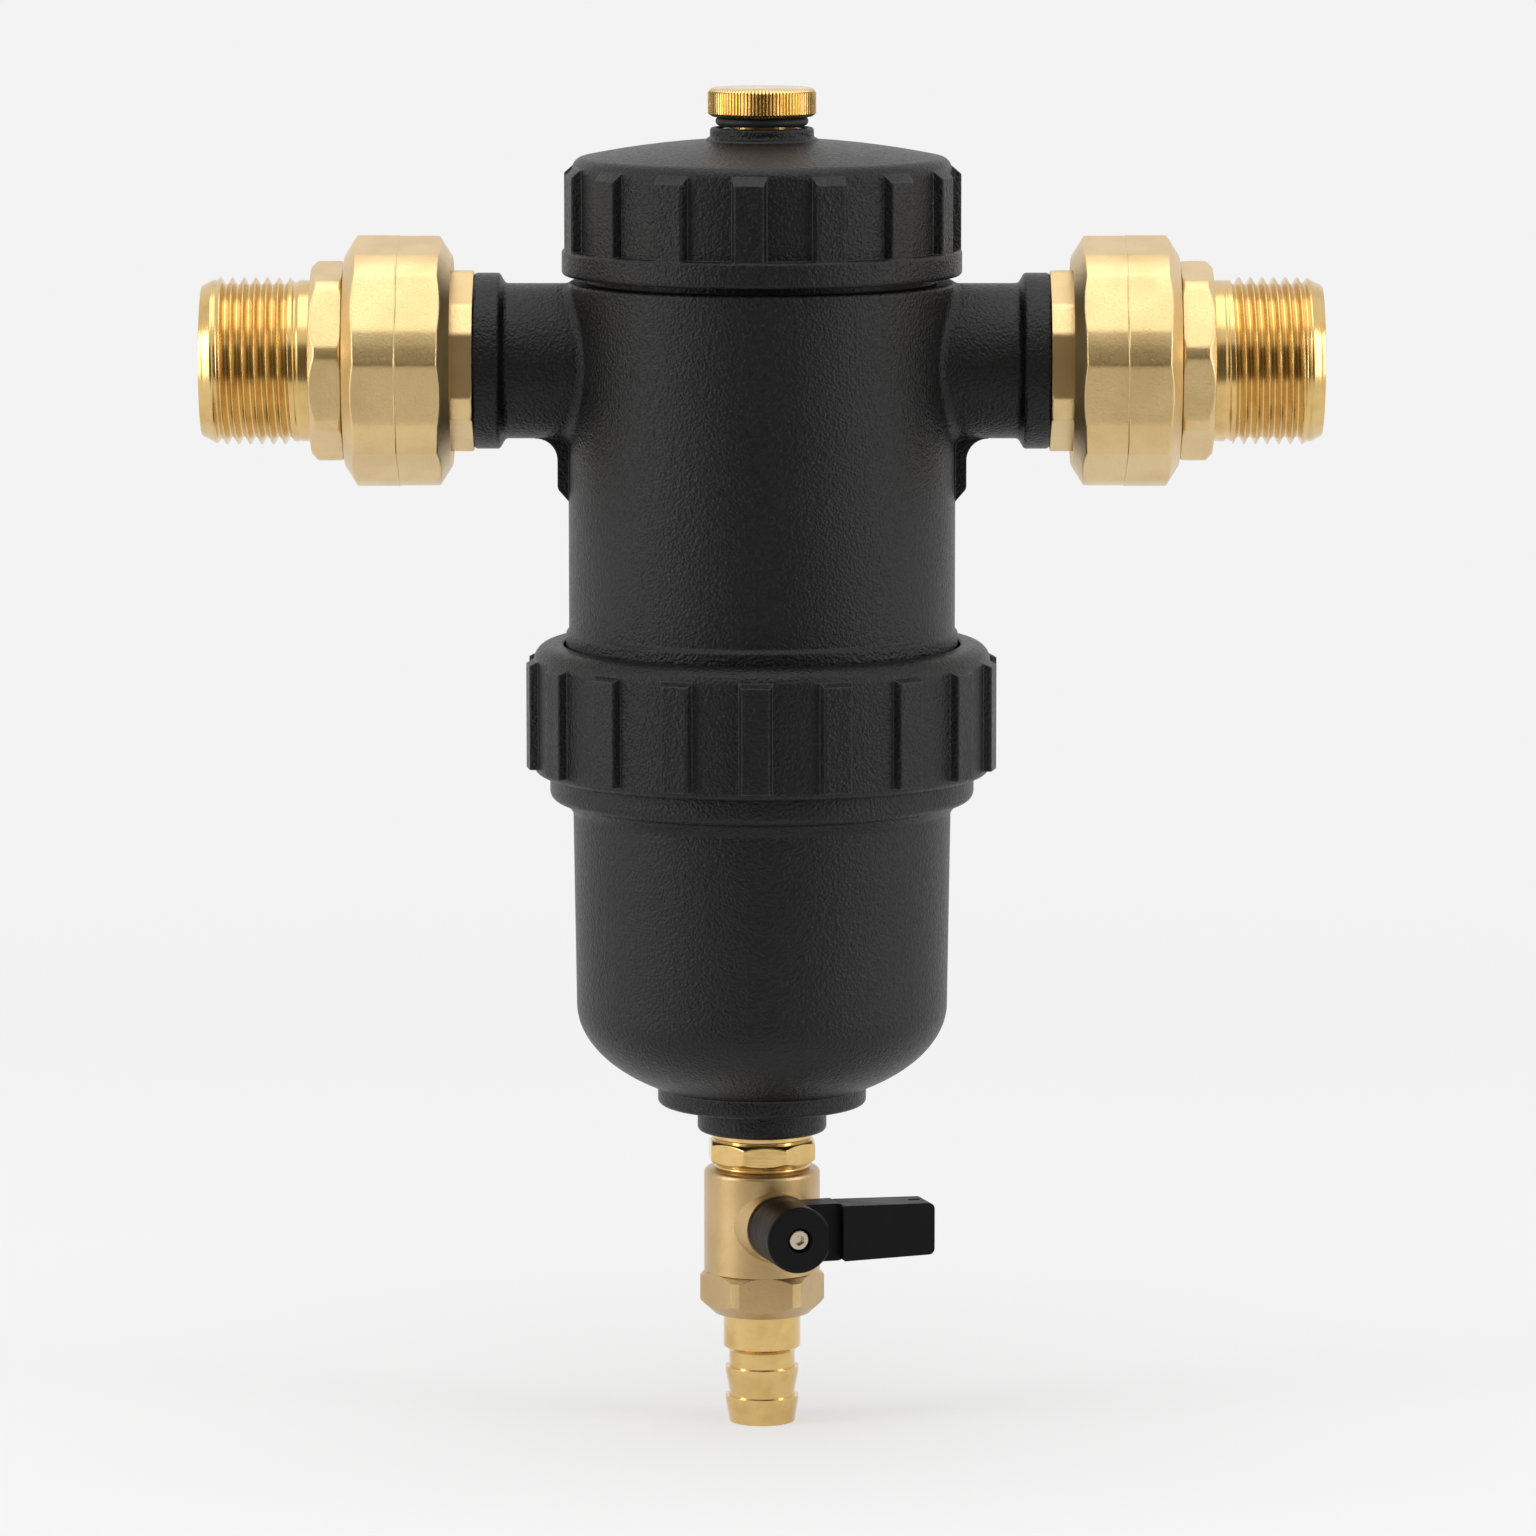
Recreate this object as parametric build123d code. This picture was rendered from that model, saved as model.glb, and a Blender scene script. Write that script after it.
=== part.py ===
from build123d import *
import os
from math import cos, pi, radians, sin, sqrt

# Magnetic dirt separator for a closed water circuit. Water crosses the upper body from one union
# to the other, slows down in the radial element, and drops its dirt into the bowl. A magnet rod
# hangs in a dry pocket on the axis and is pulled out by its knob before the drain valve is opened.
# Millimetres, +Z up, origin on the vertical axis at the foot of the hose tail.
# The inlet union points to -X, the outlet union to +X, and the drain lever faces -Y.

os.makedirs("parts", exist_ok=True)

# Clearances
FIT = 0.3  # between faces that turn or part
RUN = 0.05  # round a shaft that turns in its bore
SNUG = 0.1  # round a piece that stays in its hole
THREAD_GAP = 0.4  # between mating threads, which are drawn as plain cylinders

# Sides of the spanner shapes
HEXAGON_COUNT = 6
OCTAGON_COUNT = 8

# Hose tail
TAIL_SHANK_RADIUS = 7.75
TAIL_SHANK_LENGTH = 6.9
TAIL_BORE_RADIUS = 4.4
TAIL_NECK_RADIUS = 6.6
TAIL_BARB_RADIUS = 7.35
TAIL_BARB_PITCH = 5.95
TAIL_BARB_COUNT = 2
TAIL_BARB_LAND = 1.0
TAIL_BARB_TAPER = 3.5
TAIL_BARB_LEAD = 0.8  # plain stretch before each taper
TAIL_SHANK_CHAMFER = 1.0
TAIL_ROOT_LENGTH = 3.6
TAIL_SPIGOT_RADIUS = 7.0
TAIL_SPIGOT_LENGTH = 6.4

# Drain valve
RETAINER_FLATS = 22.6
RETAINER_CORNER_RADIUS = 12.5
RETAINER_HEX_HEIGHT = 8.6
RETAINER_SPIGOT_RADIUS = 8.8
RETAINER_SPIGOT_LENGTH = 5.3
RETAINER_BORE_RADIUS = 4.6
RETAINER_TURN = -26.0
RETAINER_FOOT_INSET = 1.6
RETAINER_FOOT_HEIGHT = 2.6
RETAINER_TOP_CHAMFER = 1.2
VALVE_BODY_RADIUS = 11.65
VALVE_BODY_LENGTH = 20.8
VALVE_BODY_ROUND = 1.0
VALVE_CHAMBER_WALL = 4.85
STEM_DROP = 10.4  # from the top of the valve body down to the stem
STEM_YAW = 17.0  # the stem turns this far from the front towards the outlet
STEM_RADIUS = 3.2
STEM_COLLAR_RADIUS = 4.2
STEM_COLLAR_THICKNESS = 1.0
STEM_SQUARE = 4.4
STEM_SQUARE_LENGTH = 7.6
STEM_WASHER_THICKNESS = 0.6
STEM_TANG_WIDTH = 2.2
STEM_SEAL_SECTION = 1.1
STEM_SEAL_PITCH = 1.9
STEM_SEAL_INSET = 0.5
STEM_PROUD = 1.0  # round part of the stem inside the lever
GLAND_RADIUS = 7.0
GLAND_ROOT_RADIUS = 8.8
GLAND_ROOT_INSET = 5.0  # the taper of the gland starts this far inside the body
GLAND_REACH = 12.6
BALL_RADIUS = 5.2
BALL_BORE_RADIUS = 2.9
BALL_SLOT_FLOOR = 3.65  # from the centre of the ball
SEAT_BORE_RADIUS = 3.2
SEAT_HEIGHT = 2.1
SEAT_OFFSET = 5.0  # from the stem to the back of each seat
WASHER_THICKNESS = 1.0

# Drain lever
LEVER_HUB_RADIUS = 6.65
LEVER_HUB_LENGTH = 13.0
LEVER_HUB_FLAT = 5.9  # from the stem to the flat on the hub's arm side
LEVER_ARM_REACH = 29.6
LEVER_ARM_START = 10.4
LEVER_ARM_ROOT_HEIGHT = 11.2
LEVER_ARM_TIP_HEIGHT = 10.4
LEVER_ARM_ROOT_THICKNESS = 8.6
LEVER_ARM_TIP_THICKNESS = 8.0
LEVER_ARM_RISE = 0.4  # how much further from the valve the back of the tip is
LEVER_TIP_ROUND = 1.2
LEVER_NECK_HEIGHT = 11.6
LEVER_NECK_THICKNESS = 6.2
LEVER_NECK_OVERLAP = 1.0
LEVER_NECK_ROUND = 1.5
LEVER_EDGE = 0.6
LEVER_FRONT_WALL = 1.6
LEVER_PIT_LENGTH = 2.4
LEVER_PIT_WIDTH = 1.2
LEVER_PIT_DEPTH = 1.3
LEVER_PIT_INSET = 1.8  # from the tip
SCREW_RECESS_RADIUS = 2.5
SCREW_HEAD_RADIUS = 2.05
SCREW_HEAD_HEIGHT = 2.1
SCREW_SHANK_RADIUS = 1.4
SCREW_SHANK_LENGTH = 6.0
SCREW_SOCKET = 2.0
SCREW_EDGE = 0.3

# Drain adapter between the valve and the bowl
ADAPTER_NECK_RADIUS = 9.6
ADAPTER_NECK_HEIGHT = 1.4
ADAPTER_OCTAGON_FLATS = 20.9
ADAPTER_OCTAGON_HEIGHT = 4.4
ADAPTER_OCTAGON_TURN = 26.0
ADAPTER_OCTAGON_CHAMFER = 0.9
ADAPTER_FACE_INSET = 0.2
ADAPTER_COLLAR_RADIUS = 10.1
ADAPTER_COLLAR_HEIGHT = 1.8
ADAPTER_COLLAR_ROUND = 0.4
ADAPTER_SPIGOT_RADIUS = 8.3
ADAPTER_SPIGOT_LENGTH = 7.5
ADAPTER_BORE_RADIUS = 5.0
ADAPTER_SEAL_SECTION = 1.5

# Bowl
BOSS_RADIUS = 12.95
BOSS_HEIGHT = 5.6
BOWL_FOOT_RADIUS = 20.9
BOWL_FOOT_ROUND = 1.0
BOWL_DOME_DEPTH = 20.4
BOWL_DRAFT = 0.6  # the wall leans out by this much on its way up
BOWL_WALL_HEIGHT = 41.2
BOWL_WALL = 3.7
BOWL_FLANGE_PROUD = 0.9
BOWL_FLANGE_STEP = 5.2  # from the flange in to the widest part of the dome
BOWL_FLANGE_THICKNESS = 5.2
BOWL_FLANGE_ROUND = 2.0
BOWL_SKIRT_HEIGHT = 2.4
BOWL_SKIRT_INSET = 2.8  # from the flange in to the foot of the skirt
BOWL_SKIRT_ROUND = 1.5
BOWL_NECK_WALL = 3.9
BOWL_NECK_HEIGHT = 16.6

# Lock ring
RING_WALL = 3.7
RING_RIB_PROUD = 1.55
RING_HOLE_GAP = 0.5  # round the bead of the body
RING_LIP_THICKNESS = 5.0
RING_TOP_ROUND = 3.5
RING_FOOT_ROUND = 1.5
RING_RIB_COUNT = 18
RING_RIB_WIDTH = 7.0
RING_RIB_CLEAR = 2.8  # from the crest of the ribs to the top of the ring
RING_RIB_DROP = 1.0
RING_HOLE_ROUND = 0.5
RING_RIB_TURN = -1.5

# Upper body
BODY_RADIUS = 38.45
BODY_HEIGHT = 77.4
BODY_WALL = 4.85
BODY_EDGE_ROUND = 0.8
BODY_FLANGE_THICKNESS = 4.0
BODY_BEAD_PROUD = 0.55
BODY_BEAD_HEIGHT = 2.2  # above the top of the lock ring
BODY_BEAD_RAMP = 0.8
BODY_BEAD_ROUND = 0.5
BODY_SHOULDER = 4.0
BODY_NECK_STEP = 3.85  # from the skin in to the threaded neck
BODY_NECK_WALL = 4.0
BODY_NECK_HEIGHT = 18.7
SPIGOT_WALL = 3.6
SPIGOT_LENGTH = 8.5
SPIGOT_SEAL_SECTION = 1.8
SPIGOT_SEAL_DROP = 5.0  # from the flange down to the foot of the seal
PORT_DROP = 15.8  # from the top of the body down to the pipe axis
PORT_TUBE_RADIUS = 15.4
PORT_TUBE_WALL = 2.1
PORT_REACH = 57.1
PORT_COLLAR_PROUD = 2.05
PORT_COLLAR_LENGTH = 5.1
PORT_COLLAR_RAMP = 1.2
PORT_COLLAR_ROUND = 0.8
PORT_FOOT_ROUND = 1.0
PORT_ROOT_ROUND = 2.0
GUSSET_THICKNESS = 5.0
GUSSET_TOP_REACH = 45.0
GUSSET_REACH = 40.6
GUSSET_CURVE = 4.4
GUSSET_DEPTH = 27.9  # from the pipe axis down to the foot of the gusset
GUSSET_FOOT = 2.6
GUSSET_TOE_ROUND = 1.5
GUSSET_SINK = 4.0  # how far the gusset goes into the tube
GUSSET_EDGE = 0.1

# Separator element
ELEMENT_HEIGHT = 71.0
ELEMENT_SLEEVE_RADIUS = 8.9
ELEMENT_SLEEVE_WALL = 1.5
ELEMENT_RIM_WIDTH = 3.6
ELEMENT_PLATE = 2.4
ELEMENT_SPOKES = 6
ELEMENT_SPOKE_WIDTH = 3.0
ELEMENT_SPOKE_SINK = 0.5
FIN_COUNT = 12
FIN_THICKNESS = 0.8
FIN_ROWS = 5
FIN_BAR = 3.0
FIN_RIM_GAP = 0.5
CLIP_SECTION = 1.6
CLIP_OPENING = 5.0
CLIP_DEPTH = 0.9  # how far the clip goes into the wall of the bore

# Unions, measured along the pipe
UNION_HEX_FLATS = 33.4
UNION_HEX_CORNERS = 35.8
UNION_HEX_LENGTH = 4.7
UNION_HEX_TURN = 27.6
UNION_HEX_CHAMFER = 0.8
UNION_SPIGOT_LENGTH = 19.0
UNION_SPIGOT_WALL = 2.7
UNION_THREAD_RADIUS = 18.9
UNION_THREAD_LENGTH = 9.2
UNION_THREAD_RELIEF = 1.4
UNION_SEAL_SECTION = 1.5
UNION_SEAL_INSET = 4.0
GASKET_THICKNESS = 2.0
PIPE_THREAD_RADIUS = 16.62
PIPE_THREAD_LENGTH = 14.3
PIPE_THREAD_DEPTH = 1.72
PIPE_TIP_LENGTH = 3.2
PIPE_PLAIN_STEP = 0.62
PIPE_PLAIN_LENGTH = 4.3
PIPE_WALL = 4.12
PIPE_OCTAGON_FLATS = 37.4
PIPE_OCTAGON_CORNERS = 39.6
PIPE_OCTAGON_LENGTH = 6.3
PIPE_OCTAGON_NUT_CHAMFER = 1.1
PIPE_OCTAGON_END_CHAMFER = 1.9
PIPE_NECK_STEP = 0.32
PIPE_NECK_LENGTH = 9.8
NUT_FLATS = 47.8
NUT_CORNERS = 49.4
NUT_LIP_THICKNESS = 5.3
NUT_OVERLAP = 0.4
NUT_CHAMFER = 2.8
NUT_FACE_INSET = 3.0
OCTAGON_TURN = -9.3
SNAP_RING_THICKNESS = 1.6
SNAP_RING_WIDTH = 3.4
SNAP_RING_DEPTH = 1.1
SNAP_RING_OPENING = 3.0
CORNER_ROOM = 0.7  # keeps a blank's skin clear of the corners of its bar

# Top cap
CAP_SEAM = 1.4
CAP_HEIGHT = 26.9  # from the rim to the crown, measured without the boss
CAP_CROWN_RADIUS = 177.0
CAP_WALL = 2.6
CAP_RIM_PROUD = 2.1
CAP_RIM_HEIGHT = 5.1
CAP_RIM_ROUND = 0.8
CAP_SHOULDER_ROUND = 2.5
CAP_RIB_PROUD = 1.8
CAP_RIB_COUNT = 15
CAP_RIB_WIDTH = 7.2
CAP_RIB_HEIGHT = 16.4
CAP_RIB_DROP = 2.0
CAP_RIB_TURN = -3.7
CAP_BOSS_RADIUS = 10.3
CAP_BOSS_HEIGHT = 2.2
CAP_BOSS_ROUND = 0.6
CAP_BOSS_FLARE = 1.0
CAP_BOSS_FLARE_HEIGHT = 0.4
CAP_ROOF = 6.1  # thickness of the crown on the axis
CAP_SPIGOT_GAP = 0.4
CAP_SPIGOT_WALL = 3.6
CAP_SPIGOT_LENGTH = 9.0
CAP_SPIGOT_ROUND = 1.5
CAP_SEAL_SECTION = 2.0

# Grip ribs
RIB_SLOPE = 0.7  # how much each side leans in from root to crest
RIB_SINK = 1.0
RIB_EDGE = 0.5

# Magnet pocket and rod
POCKET_RADIUS = 7.9
POCKET_WALL = 0.9
POCKET_LENGTH = 139.8
POCKET_FLOOR = 1.2
POCKET_FLANGE_RADIUS = 13.0
POCKET_FLANGE_THICKNESS = 2.7
POCKET_SEAL_SECTION = 1.5
POCKET_SEAL_INSET = 1.8
POCKET_TIP_ROUND = 2.0
CIRCLIP_THICKNESS = 1.0
CIRCLIP_DEPTH = 0.4
CIRCLIP_WIDTH = 1.5
CIRCLIP_INSET = 0.4
CIRCLIP_SLOT = 50.0  # degrees left open
KNOB_RADIUS = 10.75
KNOB_HEIGHT = 5.6
KNOB_CHAMFER = 0.8
KNOB_FOOT_CHAMFER = 0.5
KNOB_NECK_RADIUS = 7.3
KNOB_SEAL_SECTION = 1.9
KNOB_SHANK_RADIUS = 6.6
KNOB_SHANK_LENGTH = 6.0
SPINDLE_RADIUS = 2.5
SPINDLE_GRIP = 4.5
MAGNET_RADIUS = 6.4
MAGNET_HEIGHT = 13.6
MAGNET_COUNT = 8
POLE_THICKNESS = 1.8
END_NUT_FLATS = 8.0
END_NUT_HEIGHT = 2.6

# Radii that follow from the walls
BODY_BORE_RADIUS = BODY_RADIUS - BODY_WALL
BODY_NECK_RADIUS = BODY_RADIUS - BODY_NECK_STEP
BODY_NECK_BORE_RADIUS = BODY_NECK_RADIUS - BODY_NECK_WALL
BODY_BEAD_RADIUS = BODY_RADIUS + BODY_BEAD_PROUD
SPIGOT_RADIUS = BODY_BORE_RADIUS + SPIGOT_WALL
BOWL_NECK_RADIUS = SPIGOT_RADIUS + FIT + BOWL_NECK_WALL
BOWL_FLANGE_RADIUS = BOWL_NECK_RADIUS + BOWL_FLANGE_PROUD
BOWL_DOME_RADIUS = BOWL_FLANGE_RADIUS - BOWL_FLANGE_STEP
BOWL_TOP_RADIUS = BOWL_DOME_RADIUS + BOWL_DRAFT
BODY_FLANGE_RADIUS = BOWL_NECK_RADIUS - SNUG
RING_BORE_RADIUS = BOWL_NECK_RADIUS + THREAD_GAP
RING_SKIN_RADIUS = RING_BORE_RADIUS + RING_WALL
RING_RIB_RADIUS = RING_SKIN_RADIUS + RING_RIB_PROUD
RING_HOLE_RADIUS = BODY_BEAD_RADIUS + RING_HOLE_GAP
CAP_BORE_RADIUS = BODY_NECK_RADIUS + THREAD_GAP
CAP_SKIN_RADIUS = CAP_BORE_RADIUS + CAP_WALL
CAP_RIM_RADIUS = CAP_SKIN_RADIUS + CAP_RIM_PROUD
CAP_RIB_RADIUS = CAP_SKIN_RADIUS + CAP_RIB_PROUD
CIRCLIP_RADIUS = POCKET_RADIUS - CIRCLIP_DEPTH + CIRCLIP_WIDTH
VALVE_CHAMBER_RADIUS = VALVE_BODY_RADIUS - VALVE_CHAMBER_WALL
PORT_COLLAR_RADIUS = PORT_TUBE_RADIUS + PORT_COLLAR_PROUD
UNION_SPIGOT_RADIUS = PORT_TUBE_RADIUS - PORT_TUBE_WALL - SNUG
UNION_BORE_RADIUS = UNION_SPIGOT_RADIUS - UNION_SPIGOT_WALL
PIPE_BORE_RADIUS = PIPE_THREAD_RADIUS - PIPE_WALL
PIPE_TIP_RADIUS = PIPE_THREAD_RADIUS - PIPE_THREAD_DEPTH
PIPE_PLAIN_RADIUS = PIPE_THREAD_RADIUS - PIPE_PLAIN_STEP
PIPE_NECK_RADIUS = PIPE_THREAD_RADIUS - PIPE_NECK_STEP
SNAP_RING_RADIUS = PIPE_NECK_RADIUS - SNAP_RING_DEPTH + SNAP_RING_WIDTH

# Heights, stacked from the foot of the hose tail
RETAINER_Z = TAIL_BARB_PITCH * TAIL_BARB_COUNT + TAIL_ROOT_LENGTH + TAIL_SHANK_LENGTH
VALVE_Z = RETAINER_Z + RETAINER_HEX_HEIGHT
VALVE_TOP_Z = VALVE_Z + VALVE_BODY_LENGTH
STEM_Z = VALVE_TOP_Z - STEM_DROP
ADAPTER_OCTAGON_Z = VALVE_TOP_Z + ADAPTER_NECK_HEIGHT
ADAPTER_COLLAR_Z = ADAPTER_OCTAGON_Z + ADAPTER_OCTAGON_HEIGHT
BOSS_Z = ADAPTER_COLLAR_Z + ADAPTER_COLLAR_HEIGHT
BOWL_Z = BOSS_Z + BOSS_HEIGHT
BOWL_SPRING_Z = BOWL_Z + BOWL_DOME_DEPTH
BOWL_FLANGE_Z = BOWL_SPRING_Z + BOWL_WALL_HEIGHT
BOWL_NECK_Z = BOWL_FLANGE_Z + BOWL_FLANGE_THICKNESS
BOWL_TOP_Z = BOWL_NECK_Z + BOWL_NECK_HEIGHT
RING_Z = BOWL_NECK_Z + FIT
BODY_FLANGE_Z = BOWL_TOP_Z + FIT
SPIGOT_Z = BODY_FLANGE_Z - SPIGOT_LENGTH + FIT
SPIGOT_SEAL_Z = BODY_FLANGE_Z - SPIGOT_SEAL_DROP
BODY_Z = BODY_FLANGE_Z + BODY_FLANGE_THICKNESS
RING_LIP_Z = BODY_Z + FIT
RING_TOP_Z = RING_LIP_Z + RING_LIP_THICKNESS
BODY_TOP_Z = BODY_Z + BODY_HEIGHT
BODY_SHELF_Z = BODY_TOP_Z - BODY_SHOULDER
BODY_NECK_TOP_Z = BODY_TOP_Z + BODY_NECK_HEIGHT
PORT_Z = BODY_TOP_Z - PORT_DROP
CAP_Z = BODY_TOP_Z + CAP_SEAM
CAP_CROWN_Z = CAP_Z + CAP_HEIGHT
CAP_BOSS_Z = CAP_CROWN_Z + CAP_BOSS_HEIGHT
CAP_SLOT_Z = BODY_NECK_TOP_Z + FIT
CAP_CEILING_Z = CAP_CROWN_Z - CAP_ROOF
POCKET_TOP_Z = CAP_BOSS_Z - FIT
POCKET_Z = POCKET_TOP_Z - POCKET_LENGTH
KNOB_SEAL_Z = CAP_BOSS_Z + FIT
KNOB_Z = KNOB_SEAL_Z + KNOB_SEAL_SECTION

# Along the valve stem, from the vertical axis
STEM_SHAFT_END = GLAND_REACH + FIT + STEM_PROUD

# Stations along the pipe, from the vertical axis
UNION_THREAD_X = PORT_REACH + UNION_HEX_LENGTH
GASKET_X = UNION_THREAD_X + UNION_THREAD_LENGTH + SNUG
PIPE_NECK_X = GASKET_X + GASKET_THICKNESS
PIPE_OCTAGON_X = PIPE_NECK_X + PIPE_NECK_LENGTH
PIPE_PLAIN_X = PIPE_OCTAGON_X + PIPE_OCTAGON_LENGTH
PIPE_THREAD_X = PIPE_PLAIN_X + PIPE_PLAIN_LENGTH
PIPE_TIP_X = PIPE_THREAD_X + PIPE_THREAD_LENGTH
PIPE_END_X = PIPE_TIP_X + PIPE_TIP_LENGTH
NUT_X = UNION_THREAD_X - NUT_OVERLAP
NUT_END_X = PIPE_OCTAGON_X - FIT
NUT_LIP_X = NUT_END_X - NUT_LIP_THICKNESS
SNAP_RING_X = NUT_LIP_X - FIT - SNAP_RING_THICKNESS


def outline(corners):
    """Flat closed outline through corners given as across, up and an optional rounding."""
    points = [(corner[0], corner[1]) for corner in corners]
    roundings = [corner[2] if len(corner) > 2 else 0 for corner in corners]
    return make_face(FilletPolyline(*points, radius=roundings, close=True))


def turned(corners):
    """Solid turned about the vertical axis from corners given as radius, height and rounding."""
    return revolve(Plane.XZ * outline(corners), Axis.Z)


def tube(inner, outer, low, high):
    """Plain ring or bush."""
    return turned([(inner, low), (outer, low), (outer, high), (inner, high)])


def rod(radius, low, high):
    """Plain upright cylinder."""
    return turned([(0, low), (radius, low), (radius, high), (0, high)])


def flats(across, sides, low, high, turn):
    """Upright bar with flat sides; a corner faces the front before it is turned."""
    section = Rot(0, 0, turn - 90) * RegularPolygon(across / 2, sides, major_radius=False)
    return extrude(Pos(0, 0, low) * section, high - low)


def seal(inner, section, height):
    """O-ring that lies flat, with its lowest point at this height."""
    return Pos(0, 0, height + section / 2) * Torus(inner + section / 2, section / 2)


def groove_for(bore, section, height):
    """Room for an O-ring that a bore closes: the groove's floor and the solid to cut away."""
    floor = bore - section - 2 * SNUG
    return tube(floor, bore + section, height - SNUG, height + section + SNUG)


def along_pipe(piece, side):
    """An upright piece laid along the pipe, towards +X for side 1 and mirrored for side -1."""
    laid = Pos(0, 0, PORT_Z) * Rot(0, 90, 0) * piece
    return laid if side > 0 else mirror(laid, about=Plane.YZ)


def along_stem(piece):
    """An upright piece laid along the valve stem, its +X side towards the tip of the lever."""
    return Pos(0, 0, STEM_Z) * Rot(0, 0, STEM_YAW) * Rot(90, 0, 0) * piece


def grip_ribs(count, root_radius, crest_radius, width, low, high, drop, turn):
    """Upright grip ribs with sloping sides, whose tops fall away over the last of their height."""
    root = root_radius - RIB_SINK
    section = outline(
        [
            (root, -width / 2),
            (crest_radius, -width / 2 + RIB_SLOPE, RIB_EDGE),
            (crest_radius, width / 2 - RIB_SLOPE, RIB_EDGE),
            (root, width / 2),
        ]
    )
    rib = extrude(Pos(0, 0, low) * section, high - low)
    ribs = [Rot(0, 0, turn - 90 + 360 / count * i) * rib for i in range(count)]
    envelope = turned(
        [
            (root, low),
            (crest_radius + RIB_EDGE, low),
            (crest_radius + RIB_EDGE, high - drop),
            (root_radius, high),
            (root, high),
        ]
    )
    return Part() + ribs & envelope


def hose_tail():
    """Turned hose tail with two saw-tooth barbs and a plain spigot for the retainer."""
    shank_z = RETAINER_Z - TAIL_SHANK_LENGTH
    corners = [(TAIL_BORE_RADIUS, 0)]
    for barb in range(TAIL_BARB_COUNT):
        foot = TAIL_BARB_PITCH * barb
        crest = foot + TAIL_BARB_LEAD + TAIL_BARB_TAPER
        corners += [
            (TAIL_NECK_RADIUS, foot),
            (TAIL_NECK_RADIUS + SNUG, foot + TAIL_BARB_LEAD),
            (TAIL_BARB_RADIUS, crest),
            (TAIL_BARB_RADIUS, crest + TAIL_BARB_LAND),
            (TAIL_NECK_RADIUS, crest + TAIL_BARB_LAND),
        ]
    corners += [
        (TAIL_NECK_RADIUS, shank_z - TAIL_SHANK_CHAMFER),
        (TAIL_SHANK_RADIUS, shank_z),
        (TAIL_SHANK_RADIUS, RETAINER_Z),
        (TAIL_SPIGOT_RADIUS, RETAINER_Z),
        (TAIL_SPIGOT_RADIUS, RETAINER_Z + TAIL_SPIGOT_LENGTH),
        (TAIL_BORE_RADIUS, RETAINER_Z + TAIL_SPIGOT_LENGTH),
    ]
    return turned(corners)


def tail_washer():
    """Fibre washer between the hose tail and the retainer."""
    low = RETAINER_Z + TAIL_SPIGOT_LENGTH
    return tube(TAIL_BORE_RADIUS, TAIL_SPIGOT_RADIUS, low, low + WASHER_THICKNESS)


def valve_retainer():
    """Hexagon that closes the valve from below, holds the lower seat and takes the hose tail."""
    hole = TAIL_SPIGOT_RADIUS + SNUG
    hole_top = RETAINER_Z + TAIL_SPIGOT_LENGTH + WASHER_THICKNESS
    top = VALVE_Z + RETAINER_SPIGOT_LENGTH
    corner = RETAINER_CORNER_RADIUS
    flat = RETAINER_FLATS / 2
    blank = turned(
        [
            (0, RETAINER_Z),
            (flat - RETAINER_FOOT_INSET, RETAINER_Z),
            (corner, RETAINER_Z + RETAINER_FOOT_HEIGHT),
            (corner, VALVE_Z - RETAINER_TOP_CHAMFER),
            (corner - RETAINER_TOP_CHAMFER, VALVE_Z),
            (0, VALVE_Z),
        ]
    )
    hexagon = blank & flats(RETAINER_FLATS, HEXAGON_COUNT, RETAINER_Z, VALVE_Z, RETAINER_TURN)
    retainer = hexagon + rod(RETAINER_SPIGOT_RADIUS, VALVE_Z, top)
    return retainer - rod(hole, RETAINER_Z, hole_top) - rod(RETAINER_BORE_RADIUS, hole_top, top)


def valve_body():
    """Forged body with a cross boss for the stem and a chamber open at both ends."""
    gland = turned(
        [
            (0, 0),
            (GLAND_ROOT_RADIUS, 0),
            (GLAND_ROOT_RADIUS, VALVE_BODY_RADIUS - GLAND_ROOT_INSET),
            (GLAND_RADIUS, GLAND_REACH),
            (0, GLAND_REACH),
        ]
    )
    body = turned(
        [
            (0, VALVE_Z),
            (VALVE_BODY_RADIUS, VALVE_Z),
            (VALVE_BODY_RADIUS, VALVE_TOP_Z, VALVE_BODY_ROUND),
            (0, VALVE_TOP_Z),
        ]
    )
    body += along_stem(gland) & rod(2 * GLAND_REACH, VALVE_Z, VALVE_TOP_Z - VALVE_BODY_ROUND)
    lower_room = RETAINER_SPIGOT_RADIUS + SNUG
    upper_room = ADAPTER_SPIGOT_RADIUS + SNUG
    body -= rod(lower_room, VALVE_Z, STEM_Z - SEAT_OFFSET)
    body -= rod(VALVE_CHAMBER_RADIUS, VALVE_Z, VALVE_TOP_Z)
    body -= rod(upper_room, STEM_Z + SEAT_OFFSET, VALVE_TOP_Z)
    collar_room = VALVE_CHAMBER_RADIUS + STEM_COLLAR_THICKNESS + STEM_WASHER_THICKNESS
    body -= along_stem(rod(STEM_COLLAR_RADIUS + FIT, 0, collar_room))
    return body - along_stem(rod(STEM_RADIUS + RUN, 0, GLAND_REACH))


def ball_seats():
    """Two plastic seats, one above and one below the ball."""
    outer = VALVE_CHAMBER_RADIUS - SNUG
    low = STEM_Z - SEAT_OFFSET
    high = STEM_Z + SEAT_OFFSET
    seats = [
        tube(SEAT_BORE_RADIUS, outer, low, low + SEAT_HEIGHT),
        tube(SEAT_BORE_RADIUS, outer, high - SEAT_HEIGHT, high),
    ]
    room = Pos(0, 0, STEM_Z) * Sphere(BALL_RADIUS + FIT)
    return [seat - room for seat in seats]


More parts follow.
